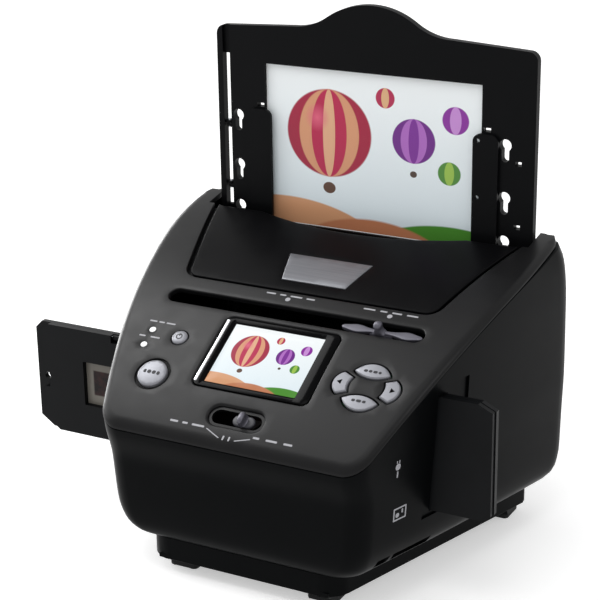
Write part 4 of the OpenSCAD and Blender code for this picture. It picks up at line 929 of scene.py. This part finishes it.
def petal(heading, grow):
    """Anticlockwise outline of a navigation button: two arcs for the upper and lower ones, and for the
    side ones a part of a ring between two slanting lines."""
    if heading in (90, 270):
        tip = NAV_B * PETAL_TIP
        sag_out, sag_in = NAV_B - tip, tip - NAV_B * PETAL_INNER
        r_out, r_in = ((LENS_HALF ** 2 + sag ** 2) / (2 * sag) for sag in (sag_out, sag_in))
        c_out, c_in = sag_out - r_out, r_in - sag_in
        big, low = r_out + grow, r_in + grow
        v = ((big ** 2 - low ** 2) - (c_out ** 2 - c_in ** 2)) / (2 * (c_in - c_out))
        u = math.sqrt(big ** 2 - (v - c_out) ** 2)
        a_out = math.degrees(math.atan2(v - c_out, u))
        a_in = math.degrees(math.atan2(v - c_in, -u))
        upper = arc(0, c_out, big, a_out, 180 - a_out, 18)
        lower = arc(0, c_in, low, a_in, -180 - a_in, 18)[1:-1]
        return turned(np.vstack([upper, lower]) + (0, tip), math.radians(heading - 90))
    outer_r, hub_r = NAV_A * SIDE_OUTER + grow, NAV_A * SIDE_INNER - grow
    outer_c = NAV_A - NAV_A * SIDE_OUTER
    edge = SIDE_GAP + 1.1 * grow

    def meet(centre, radius):
        """Angle on a circle at which it meets the slanting line."""
        a, b = 1 + SIDE_SLOPE ** 2, 2 * (edge * SIDE_SLOPE - centre)
        c = centre ** 2 + edge ** 2 - radius ** 2
        u = (-b + math.sqrt(b * b - 4 * a * c)) / (2 * a)
        return math.degrees(math.atan2(edge + SIDE_SLOPE * u, u - centre))
    a_out, a_hub = meet(outer_c, outer_r), meet(HUB_MIDDLE, hub_r)
    outer = arc(outer_c, 0, outer_r, -a_out, a_out, 20)
    return turned(np.vstack([outer, arc(HUB_MIDDLE, 0, hub_r, a_hub, -a_hub, 14)]), math.radians(heading))


def cover_side(ahead, beside):
    """Right side of the top cover's plan outline from its front corner to the lip, moved out by ahead at
    the front and by beside at the side; the corner is an oval arc."""
    lean = math.atan((COVER_HALF_REAR - COVER_HALF_FRONT) / (LIP_Y - COVER_FRONT))
    corner = arc(0, 0, 1, -90, -math.degrees(lean), 12) * (COVER_CORNER + beside, COVER_CORNER + ahead)
    corner += (COVER_HALF_FRONT - COVER_CORNER, COVER_FRONT + COVER_CORNER)
    end = np.array([[COVER_HALF_REAR + beside / math.cos(lean), LIP_Y]])
    share = np.linspace(0, 1, 22)[1:, None]
    return np.vstack([corner, corner[-1] + share * (end - corner[-1])])


def on_plan(points):
    """Turns depths to lengths along the top surface."""
    return np.stack([points[:, 0], along(points[:, 1])], 1)


# ---------------------------------------------------------------- front panel and top cover

def front_panel():
    """The curved panel round the top cover, with all its openings."""
    edge = both_halves(below_top(front_path, 0.0)[None])[0][:, :2]
    seam = SEAM_Y - SEAM_GAP
    slot_rear, slot_front = (TRAY_SLOT_HALF, seam), (TRAY_SLOT_HALF, LIP_Y)
    side = cover_side(GROOVE_FRONT, GROOVE_SIDE)
    right = np.vstack([straight((edge[-1, 0], seam), slot_rear, 3), slot_rear,
                       straight(slot_rear, slot_front, 4), slot_front, side[::-1]])
    front_run = straight(side[0], side[0] * MIRROR, 34)
    outer = on_plan(np.vstack([edge, right, front_run, right[::-1] * MIRROR]))
    radius = np.full(len(outer), 0.5)
    radius[:len(edge)] = EDGE_ROUND
    radius[:2] = (0.5, 1.6)
    radius[len(edge) - 2:len(edge)] = (1.6, 0.5)
    on_edge = np.arange(len(outer)) < len(edge)

    def down_outer(points, normal):
        """The casing's edge goes straight down, and the seams at right angles to the panel."""
        upright = np.stack([np.zeros(len(points)), np.zeros(len(points)), -1 / normal[:, 2]], 1)
        return np.where(on_edge[:, None], upright, -normal)

    edge_profile = rounded(radius, PANEL_T, 0.3, 10, np.minimum(radius, EDGE_FALL))
    mode_recess = rounded(1.6, 1.5, 0.01, 5, 1.3)[:-1] + [(-1.5, 1.5), (-1.5, PANEL_T)]
    scan_recess = rounded(0.5, 0.9, 0.01, 3)[:-1] + [(-1.1, 1.0), (-1.1, PANEL_T)]
    openings = [
        (moved(rectangle(LCD_OPEN_W, LCD_OPEN_H, 4), 0, LCD_Y)[::-1], rounded(0.9, PANEL_T, 0.15)),
        (moved(stadium(SLOT_LEN, SLOT_W), 0, SLOT_Y)[::-1], rounded(0.7, PANEL_T, 0.15)),
        (moved(stadium(MODE_LEN, MODE_W, side=10), 0, MODE_Y)[::-1], mode_recess),
        (circle(SCAN_X, SCAN_Y, SCAN_R + 1.5, 64), scan_recess),
        (circle(POWER_X, POWER_Y, POWER_R + BUTTON_GAP), rounded(0.45, PANEL_T, 0.15, 3)),
    ]
    openings += [(circle(LIGHT_X, y, LIGHT_R + 0.1, 24), rounded(0.2, PANEL_T, 0.1, 2)) for y in LIGHT_YS]
    openings += [(moved(petal(heading, BUTTON_GAP + 0.35), NAV_X, NAV_Y)[::-1], rounded(0.4, PANEL_T, 0.1, 3))
                 for heading in (0, 90, 180, 270)]
    loops, profiles = zip((outer, edge_profile), *openings)
    plate("panel_lacquered", loops, profiles, top_surface(), PANEL, stands_for=("front_panel",),
          downs=[down_outer] + [None] * len(openings))


def top_cover():
    """Cover behind the wide slot, with the scooped lip turned down into the tray slot."""
    right = cover_side(0, 0)
    scoop_r = (SCOOP_HALF ** 2 + SCOOP_DEPTH ** 2) / (2 * SCOOP_DEPTH)
    x = np.linspace(SCOOP_HALF, -SCOOP_HALF, 49)
    scoop = np.stack([x, LIP_Y - SCOOP_DEPTH + scoop_r - np.sqrt(scoop_r ** 2 - x ** 2)], 1)
    lip = np.vstack([straight(right[-1], scoop[0], 6), scoop, straight(scoop[-1], right[-1] * MIRROR, 6)])
    left = right[::-1] * MIRROR
    loop = on_plan(np.vstack([right, lip, left, straight(left[-1], right[0], 34)]))
    deep = np.zeros(len(loop))
    deep[len(right):len(right) + len(lip)] = 1
    profile = rounded(0.7 + 0.9 * deep, COVER_T, 0.2, 6)
    lip_fall = deep * (LIP_DEPTH - COVER_T)
    profile[-2:] = [(0, COVER_T - 0.2 + lip_fall), (0.2 + 1.6 * deep, COVER_T + lip_fall)]
    seat = moved(plate_outline(0.25), 0, PLATE_Y)[::-1]
    seat_profile = rounded(0.3, 0.7, 0.01, 3)[:-1] + [(0.02, COVER_T)]
    plate("cover_lacquered", [loop, seat], [profile, seat_profile], top_surface(COVER_DROP), SHADED_COVER_LACQUER,
          stands_for=("top_cover",), spacing=3.5)


def cover_flange():
    """Flange of the cover under the panel, which closes the groove between them from below."""
    outer, inner = cover_side(GROOVE_FRONT + 3, GROOVE_SIDE + 3), cover_side(-2.5, -2.5)
    loop = np.vstack([outer, inner[::-1], straight(inner[0], inner[0] * MIRROR, 34), inner * MIRROR,
                      outer[::-1] * MIRROR, straight(outer[0] * MIRROR, outer[0], 34)])
    plate("cover_flange", [on_plan(loop)], [rounded(0.2, 1.0, 0.1, 2)], top_surface(PANEL_T + 0.2), CHASSIS,
          spacing=3.5)


def plate_outline(grow):
    """Anticlockwise trapezoid of the name plate with points along its sides."""
    b, t, h = (size / 2 + grow for size in (PLATE_BOTTOM, PLATE_TOP, PLATE_H))
    corners = np.array([[-b, -h], [b, -h], [t, h], [-t, h]])
    return np.vstack([part for a, c in zip(corners, np.roll(corners, -1, 0))
                      for part in (a, straight(a, c, 10))])


def name_plate():
    """Bare metal plate with a rounded bevel, sunk into the cover."""
    plate("metal_plate", [moved(plate_outline(0), 0, PLATE_Y)], [rounded(0.35, 1.0, 0.05, 3)],
          top_surface(COVER_DROP - 0.35), ALUMINIUM, stands_for=("name_plate",), spacing=3.0)


# ---------------------------------------------------------------- display

BEZEL_DROP = 0.85
GLASS_DROP = 1.45


def display_plane(drop):
    """Plane that touches the curved top in the middle of the display, lowered by drop."""
    place, normal = top_surface(drop)(on_top(0, LCD_Y)[None])
    return flat_surface(place[0], (1, 0, 0), (0, normal[0, 2], -normal[0, 1]))


def display():
    """Glossy frame with a sunk window, the lit picture, and on the left a bright strip that is a painted
    highlight of the frame's bevel.
    """
    outer = rectangle(LCD_OPEN_W - 0.9, LCD_OPEN_H - 0.9, 3.6)
    window = (rectangle(LCD_W + 0.7, LCD_H + 0.7, 0.6) + (LCD_SHIFT, 0))[::-1]
    plate("display_frame", [outer, window], [rounded(0.2, 3.6, 0.1, 3), rounded(0.1, 3.6, 0.1, 2)],
          display_plane(BEZEL_DROP), GLOSS, stands_for=("lcd_bezel",), spacing=6.0)
    glass = rectangle(LCD_W, LCD_H, 0.3) + (LCD_SHIFT, 0)
    plate("display_picture", [glass], [rounded(0.05, 2.4, 0.02, 2)], display_plane(GLASS_DROP), DISPLAY,
          stands_for=("lcd_display",), spacing=6.0, uv=lambda p: (p - (LCD_SHIFT, 0)) / (LCD_W, LCD_H) + 0.5)
    # Painted highlight: a bright polished strip where the frame's left bevel catches the light.
    strip = rectangle(1.7, LCD_OPEN_H - 5, 0.8, side=8) + (1.6 - LCD_OPEN_W / 2, 0)
    plate("display_highlight_strip", [strip], [rounded(0.5, 0.9, 0.05, 3)], display_plane(0.2), HIGHLIGHT_TRIM, spacing=2.0)


# ---------------------------------------------------------------- buttons and knobs

SCAN_RISE, SCAN_DOME = 1.0, 0.5
POWER_RISE, POWER_DOME = 0.8, 0.3
NAV_RISE, NAV_DOME, NAV_REACH = 0.6, 0.35, 9.0


def domed(centre, reach, height):
    """Crown function: a paraboloid of that height over a circle of that reach."""
    def crown(points):
        away = np.linalg.norm((points - centre) / reach, axis=1)
        return height * np.clip(1 - away ** 2, 0, 1)
    return crown


def round_button(node, x, y, r, rise, dome):
    """Round button: a crowned cap with a rounded rim."""
    plate(node.replace("button", "cap"), [circle(x, y, r)[::-1]], [rounded(0.8, PANEL_T + rise, 0.2, 5)],
          top_surface(-rise), SILVER, BODY_OF[node], (node,), 1.0, crown=domed(on_top(x, y), r, dome))


def scan_well():
    """Dark ring in the recess round the scan button."""
    loops = [circle(SCAN_X, SCAN_Y, SCAN_R + 1.35, 64)[::-1], circle(SCAN_X, SCAN_Y, SCAN_R + 0.5, 64)]
    plate("scan_cap_well", loops, [rounded(0.25, 0.5, 0.05, 3)] * 2, top_surface(0.75), TRAY, spacing=1.2)


def petal_button(node, heading):
    """Navigation button with a softly crowned face."""
    loop = moved(petal(heading, 0), NAV_X, NAV_Y)
    plate(node + "_cap", [loop], [rounded(0.55, PANEL_T + 0.7, 0.15, 4)], top_surface(-NAV_RISE), SILVER,
          BODY_OF[node], (node,), 0.9, crown=domed(loop.mean(0), NAV_REACH, NAV_DOME))


def knob(name, body, x, y, half_u, half_v, height, waist, low):
    """Grip that rises from a slider: ovals whose half-axes flare at the foot, narrow to the waist and
    close in a round top."""
    place, normal = (v[0] for v in top_surface()(on_top(x, y)[None]))
    up = np.array([0, normal[2], -normal[1]])
    turn = np.linspace(0, 2 * math.pi, 41)[:-1]
    u, v = (np.sign(f) * np.abs(f) ** 0.8 for f in (np.cos(turn), np.sin(turn)))
    share = np.linspace(0, 1, 22)[:, None]
    flare = 1 + 0.55 * np.exp(-share * 7)
    top_from = 0.62
    close = np.sqrt(np.maximum(1 - np.maximum((share - top_from) / (1 - top_from), 0) ** 2.2, 0.0004))
    across = u * half_u * (waist + (1 - waist) * np.abs(share - 0.45) ** 0.7) * flare * close
    ahead = v * half_v * close * (1 - 0.12 * share)
    rise = np.broadcast_to(low + share * (height - low), across.shape)
    rings = place + across[..., None] * (1, 0, 0) + ahead[..., None] * up + rise[..., None] * normal
    piece(name, *tube_mesh(rings), KNOB_SILVER, body, sharp=50)


def sliders():
    """Backlight lever, a thin bar that swells beside its grip, and mode switch, a low bar with a fin."""
    share = np.linspace(-1, 1, 33)
    half = 1.1 + 1.5 * np.exp(-((np.abs(share) - 0.62) / 0.24) ** 2)
    half[[0, -1]] = 0.6
    lower = np.stack([share * LEVER_HALF, -half], 1)
    bar = np.vstack([lower, (lower * (1, -1))[::-1]])
    plate("lever_bar", [moved(bar, LEVER_X, SLOT_Y - 0.6)], [rounded(0.5, 2.0, 0.2, 4)], top_surface(0.9),
          KNOB_SILVER, "backlight", ("backlight_lever",), 1.2)
    knob("lever_grip", "backlight", LEVER_X - 1.5, SLOT_Y - 0.4, 3.0, 2.6, 4.8, 0.55, -1.6)
    stem = box_mesh((LEVER_X - 6, SLOT_Y - 1.5, LEVER_FOOT), (LEVER_X + 6, SLOT_Y + 1.5, top_z(SLOT_Y) - 2.6))
    piece("lever_stem", *stem, KNOB_SILVER, "backlight")
    foot = moved(stadium(12, 6.4, side=10), MODE_REST - 1.2, MODE_Y)
    plate("mode_bar", [foot], [rounded(0.9, 1.2, 0.1, 4)], top_surface(1.3), MODE_PAINT, "mode_slider",
          ("mode_switch",), 1.2)
    knob("mode_grip", "mode_slider", MODE_REST - 1.5, MODE_Y, 1.8, 3.6, 3.2, 0.8, -1.4)


# ---------------------------------------------------------------- printed marks

MARK_T = 0.06
# Rows of bars in the place of words: first and last X, depth, height, lengths
LIGHT_WORDS = ((-72.5, -57.5, -4.6, 0.9, (4.2, 3.2, 5.2)), (-73.5, -61.5, -13.6, 0.9, (3.6, 5.4)))
SLIDER_WORDS = ((-20.6, 6.8, 24.6, 1.0, (5.2, 3.4, 6.6, 4.6)), (34.0, 63.5, 24.6, 1.0, (6.4, 3.8, 5.2, 6.0)),
                (-33.0, -14.0, -51.0, 1.1, (4.4, 3.0, 6.8)), (13.0, 34.0, -51.4, 1.1, (3.4, 6.0, 4.6)))
# Dots at the lever's two stops
STOP_XS, STOP_Y, STOP_R = (-7.3, 49.3), 22.2, 1.35
# Lines and ticks below the mode switch: two ends and a width
MODE_LINES = (((-12.5, -51.4), (-4.2, -54.4), 0.5), ((12.0, -52.4), (4.2, -54.4), 0.5),
              ((-1.9, -55.0), (-1.9, -53.0), 0.9), ((1.3, -55.0), (1.3, -53.0), 0.9))
ARROW = np.array([[-1.1, -1.5], [1.3, 0], [-1.1, 1.5]])
ARROW_AWAY = 13.9
# Bars of the signs: middle, counted from the sign's, then length and width
PLUG_BARS = ((0, -3.6, 0.9, 3.4), (0, 0.4, 3.2, 3.4), (-0.8, 3.0, 0.6, 1.5), (0.8, 3.0, 0.6, 1.5))
CARD_BARS = ((0, -3.0, 8.6, 0.8), (0, 3.0, 8.6, 0.8), (-3.9, 0, 0.8, 5.6), (3.9, 0, 0.8, 5.6),
             (-1.6, -0.6, 2.4, 2.4), (1.6, 0.8, 1.0, 2.2))


def printed(name, loops, surface=top_surface(-0.05), finish=INK, body="casing", spacing=3.0):
    """A printed mark: a plate as thin as ink, just proud of what it is printed on."""
    plate(name, loops, [rounded(0.02, MARK_T, 0.01, 1)] * len(loops), surface, finish, body, spacing=spacing)


def word_bars(x0, x1, y, height, lengths):
    """Row of short bars between x0 and x1, in the place of a line of words."""
    gap = (x1 - x0 - sum(lengths)) / (len(lengths) - 1)
    loops, x = [], x0
    for length in lengths:
        loops.append(moved(rectangle(length, height, 0.3, 3, 2), x + length / 2, y))
        x += length + gap
    return loops


def line_mark(a, b, width):
    """Thin line between two points, as a slanting bar."""
    a, b = on_top(*a), on_top(*b)
    run = b - a
    bar = rectangle(np.linalg.norm(run), width, width * 0.45, 3, 4)
    return turned(bar, math.atan2(run[1], run[0])) + (a + b) / 2


def panel_marks():
    """All printed marks of the panel, and the arrows on the two side buttons."""
    loops = [bar for row in LIGHT_WORDS for bar in word_bars(*row)]
    loops += [circle(x, STOP_Y, STOP_R, 24)[::-1] for x in STOP_XS]
    loops += [bar for row in SLIDER_WORDS for bar in word_bars(*row)]
    loops += [line_mark(*row) for row in MODE_LINES]
    for number, loop in enumerate(loops):
        printed("mark_%02d" % number, [loop])
    for heading, side, button in ((0, 1, "nav_right_button"), (180, -1, "nav_left_button")):
        printed("arrow_%d" % heading, [moved(ARROW * side, NAV_X + ARROW_AWAY * side, NAV_Y)],
                top_surface(-1.0), GLOSS, BODY_OF[button], 2.0)


def side_surface(points):
    """Surface function of the casing's right side: parameters are depth and height."""
    y, z = points.T
    along_y = side_x(y + 0.5, z) - side_x(y - 0.5, z)
    along_z = side_x(y, z + 0.5) - side_x(y, z - 0.5)
    normal = np.stack([np.ones(len(points)), -along_y, -along_z], 1)
    normal /= np.linalg.norm(normal, axis=1)[:, None]
    return np.stack([side_x(y, z), y, z], 1) + 0.05 * normal, normal


def bar_at(u, v, length, width):
    """Small bar with its middle at (u, v)."""
    return rectangle(length, width, min(length, width) * 0.4, 3, 3) + (u, v)


def pictograms():
    """Plug and card signs on the right side, above their sockets."""
    loops = [bar_at(y + u, z + v, *size) for (y, z), bars in ((PLUG_SIGN, PLUG_BARS), (CARD_SIGN, CARD_BARS))
             for u, v, *size in bars]
    for number, loop in enumerate(loops):
        printed("sign_%02d" % number, [loop], side_surface)


def button_marks():
    """Dark bars in the place of words on the buttons, and a ring with a bar on the power button. Each mark
    lies on the crown of its button."""
    nav, tip = on_top(0, NAV_Y)[1], NAV_B * 0.64
    dome = (NAV_RISE, NAV_DOME, NAV_REACH)
    rows = (("scan", "scan_button", *on_top(SCAN_X, SCAN_Y), 2.1, (1.6, 2.2, 2.0, 1.7), SCAN_RISE, SCAN_DOME,
             SCAN_R),
            ("up", "nav_up_button", NAV_X, nav + tip, 1.5, (2.0, 1.8, 2.2, 1.5), *dome),
            ("down", "nav_down_button", NAV_X, nav - tip, 1.5, (1.9, 2.6, 1.8), *dome))
    gap = 0.55
    for name, button, x, at, height, lengths, rise, crown, reach in rows:
        start = x - (sum(lengths) + gap * (len(lengths) - 1)) / 2
        for number, length in enumerate(lengths):
            middle = start + length / 2
            start += length + gap
            lift = rise + crown * (1 - ((middle - x) / reach) ** 2) + 0.07
            printed("%s_mark_%d" % (name, number), [bar_at(middle, at, length, height)], top_surface(-lift),
                    DARK_INK, BODY_OF[button])
    ring = [circle(POWER_X, POWER_Y, 1.8, 32)[::-1], circle(POWER_X, POWER_Y, 1.15, 32)]
    stroke = bar_at(*(on_top(POWER_X, POWER_Y) + (0, 1.1)), 0.6, 1.9)
    for name, loops, lift in (("power_ring", ring, 1.13), ("power_bar", [stroke], 1.17)):
        printed(name, loops, top_surface(-lift), DARK_INK, "power_button", 2.0)


# ---------------------------------------------------------------- print and film

FILM_FRAME = 38.0


def flat_picture(name, node, low, size, y, finish, repeats=1):
    """Thin sheet that faces the front, with its picture repeated along X on the UV square."""
    size = np.array(size)
    middle = np.array(low) + size / 2
    surface = flat_surface((middle[0], y, middle[1]), (1, 0, 0), (0, 0, 1))
    plate(name, [rectangle(*size, 0.2, 2, 6)], [rounded(0.02, 0.2, 0.02, 1)], surface, finish, BODY_OF[node],
          (node,), 12.0, uv=lambda p: (p / size + 0.5) * (repeats, 1))


def sheets():
    """The print in the tray and the film in the holder."""
    flat_picture("print_sheet", "photo_print", (-PRINT_W / 2, TRAY_Z + PRINT_FOOT), (PRINT_W, PRINT_H),
                 PRINT_Y - 0.12, PAPER)
    low, high = (np.array(corner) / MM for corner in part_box("film_strip"))
    size = high - low
    flat_picture("film_sheet", "film_strip", low[[0, 2]], size[[0, 2]], low[1], FILM, size[0] / FILM_FRAME)


# ---------------------------------------------------------------- camera and light

CAMERA_AT = (395.8, -713.5, 431.8)
CAMERA_YAW, CAMERA_PITCH, CAMERA_ROLL = 28.30, 19.74, 0.85
FOCAL_PIXELS = 1773.1
FRAME_PIXELS = 600
DIM = 0.68
FLOOR_GLOW = 0.45
FLOOR_R = 6.0

# Lamps: place in metres, height of the point they are turned to, width, height and watts. The softboxes
# light all; the cards show only in glossy surfaces.
LAMPS = (
    ("left_softbox", (-1.25, -0.25, 0.95), 0.12, 0.7, 1.3, 9.5),
    ("top_softbox", (-0.1, -0.5, 1.7), 0.1, 1.2, 0.8, 7),
    ("left_card", (-0.95, 0.12, 1.42), 0.1, 0.7, 0.5, 10.5),
    ("rim_card", (-1.4, 0.6, 0.33), 0.1, 1.0, 0.8, 30),
    ("right_card", (1.1, -0.15, 1.2), 0.1, 0.3, 0.5, 2.6),
)


def aimed(made, at, right, up, back):
    """Puts a camera or lamp at a place in metres, with its own axes."""
    made.matrix_world = Matrix.Translation(at) @ Matrix(np.stack([right, up, back], 1).tolist()).to_4x4()


def camera():
    """Camera at the measured place: looks along yaw and pitch, rolled a little about its axis."""
    yaw, pitch, roll = (math.radians(a) for a in (CAMERA_YAW, CAMERA_PITCH, CAMERA_ROLL))
    forward = np.array([-math.sin(yaw) * math.cos(pitch), math.cos(yaw) * math.cos(pitch), -math.sin(pitch)])
    right = np.array([math.cos(yaw), math.sin(yaw), 0])
    down = np.cross(forward, right)
    lens = bpy.data.cameras.new("camera")
    lens.sensor_width = 36
    lens.lens = FOCAL_PIXELS / FRAME_PIXELS * lens.sensor_width
    lens.clip_end = 50
    made = placed("camera", lens)
    aimed(made, [v * MM for v in CAMERA_AT], math.cos(roll) * right + math.sin(roll) * down,
          math.sin(roll) * right - math.cos(roll) * down, -forward)
    bpy.context.scene.camera = made


def lights():
    """Soft even light from the front and above, and cards for the gloss."""
    for name, at, aim, width, height, watts in LAMPS:
        lamp = bpy.data.lights.new(name, "AREA")
        lamp.shape = "RECTANGLE"
        lamp.size, lamp.size_y, lamp.energy = width, height, watts
        back = np.array(at) - (0, 0, aim)
        back /= np.linalg.norm(back)
        side = np.cross((0, 0, 1), back)
        side /= np.linalg.norm(side)
        made = placed(name, lamp)
        aimed(made, at, side, np.cross(back, side), back)
        made.visible_diffuse = not name.endswith("card")


def seen_factor(tree):
    """1 for rays that show the background: straight to the camera, mirrored or through glass."""
    path = add(tree, "LightPath").outputs
    most = add(tree, "Math", (path["Is Camera Ray"], path["Is Transmission Ray"]), operation="MAXIMUM")
    return add(tree, "Math", (most.outputs[0], path["Is Glossy Ray"]), operation="MAXIMUM").outputs[0]


def world():
    """Dim even light on the object; white where the background itself shows."""
    studio = bpy.data.worlds.new("studio")
    studio.use_nodes = True
    bpy.context.scene.world = studio
    tree = studio.node_tree
    tree.nodes.clear()
    dim, white = (add(tree, "Background", ("#ffffff", strength)).outputs[0] for strength in (DIM, 1.0))
    mixed = add(tree, "MixShader", (seen_factor(tree), dim, white))
    add(tree, "OutputWorld", (mixed.outputs[0],))


def floor():
    """Pale floor: it keeps the object's shadow and shows near white."""
    made, tree, surface = material("pale_floor", Base_Color="#f2f2f2", Roughness=0.9, Specular_IOR_Level=0.1)
    glow = add(tree, "Emission", ("#ffffff", FLOOR_GLOW))
    lit = add(tree, "AddShader", (surface.outputs[0], glow.outputs[0]))
    mixed = add(tree, "MixShader", (seen_factor(tree), surface.outputs[0], lit.outputs[0]))
    wire(tree.nodes["Material Output"], {"Surface": mixed.outputs[0]})
    turn = np.linspace(0, 2 * math.pi, 97)[:-1]
    mesh = bpy.data.meshes.new("floor")
    ring = np.stack([FLOOR_R * np.cos(turn), FLOOR_R * np.sin(turn), np.zeros(96)], 1)
    mesh.from_pydata(ring.tolist(), [], [list(range(96))])
    mesh.materials.append(made)
    placed("floor", mesh)


# ---------------------------------------------------------------- assembly

camera()
world()
floor()
lights()

housing()
rear_casing()
front_panel()
top_cover()
cover_flange()
name_plate()
display()
round_button("scan_button", SCAN_X, SCAN_Y, SCAN_R, SCAN_RISE, SCAN_DOME)
scan_well()
round_button("power_button", POWER_X, POWER_Y, POWER_R, POWER_RISE, POWER_DOME)
for button, heading in (("nav_right_button", 0), ("nav_up_button", 90), ("nav_left_button", 180),
                        ("nav_down_button", 270)):
    petal_button(button, heading)
sliders()
panel_marks()
button_marks()
pictograms()
sheets()

softened("base_plate", 0.3, CASING)
for corner in ("front_left", "front_right", "rear_left", "rear_right"):
    softened("foot_pad_" + corner, 0.6, RUBBER)

dressed(TRAY, "tray_back", "tray_front_frame", "print_rail_left", "print_rail_right")
dressed(HOLDER, "film_holder_base", "film_holder_cover")
dressed(PIPE, "status_light_pipes")
dressed(BOARD, "left_button_board", "right_button_board", "main_board", "camera_board")
dressed(STEEL, "usb_socket", "card_socket", "guide_rods", "tray_hinge_pins", "film_holder_hinge_pin",
        "chassis_screws")
dressed(DARK_STEEL, "base_screws", "rear_screws")
dressed(CHASSIS, "inner_chassis", "film_channel", "rod_bracket_left", "rod_bracket_right", "closeup_slider",
        "lens_barrel", "tray_guide_left", "tray_guide_right")
dressed(GLASS, "camera_lens", "closeup_lens")
dressed(WHITE, "backlight_housing", "backlight_board", "photo_lamp_left", "photo_lamp_right")
dressed(DIFFUSER, "backlight_diffuser")

bpy.context.scene.view_settings.view_transform = "Standard"
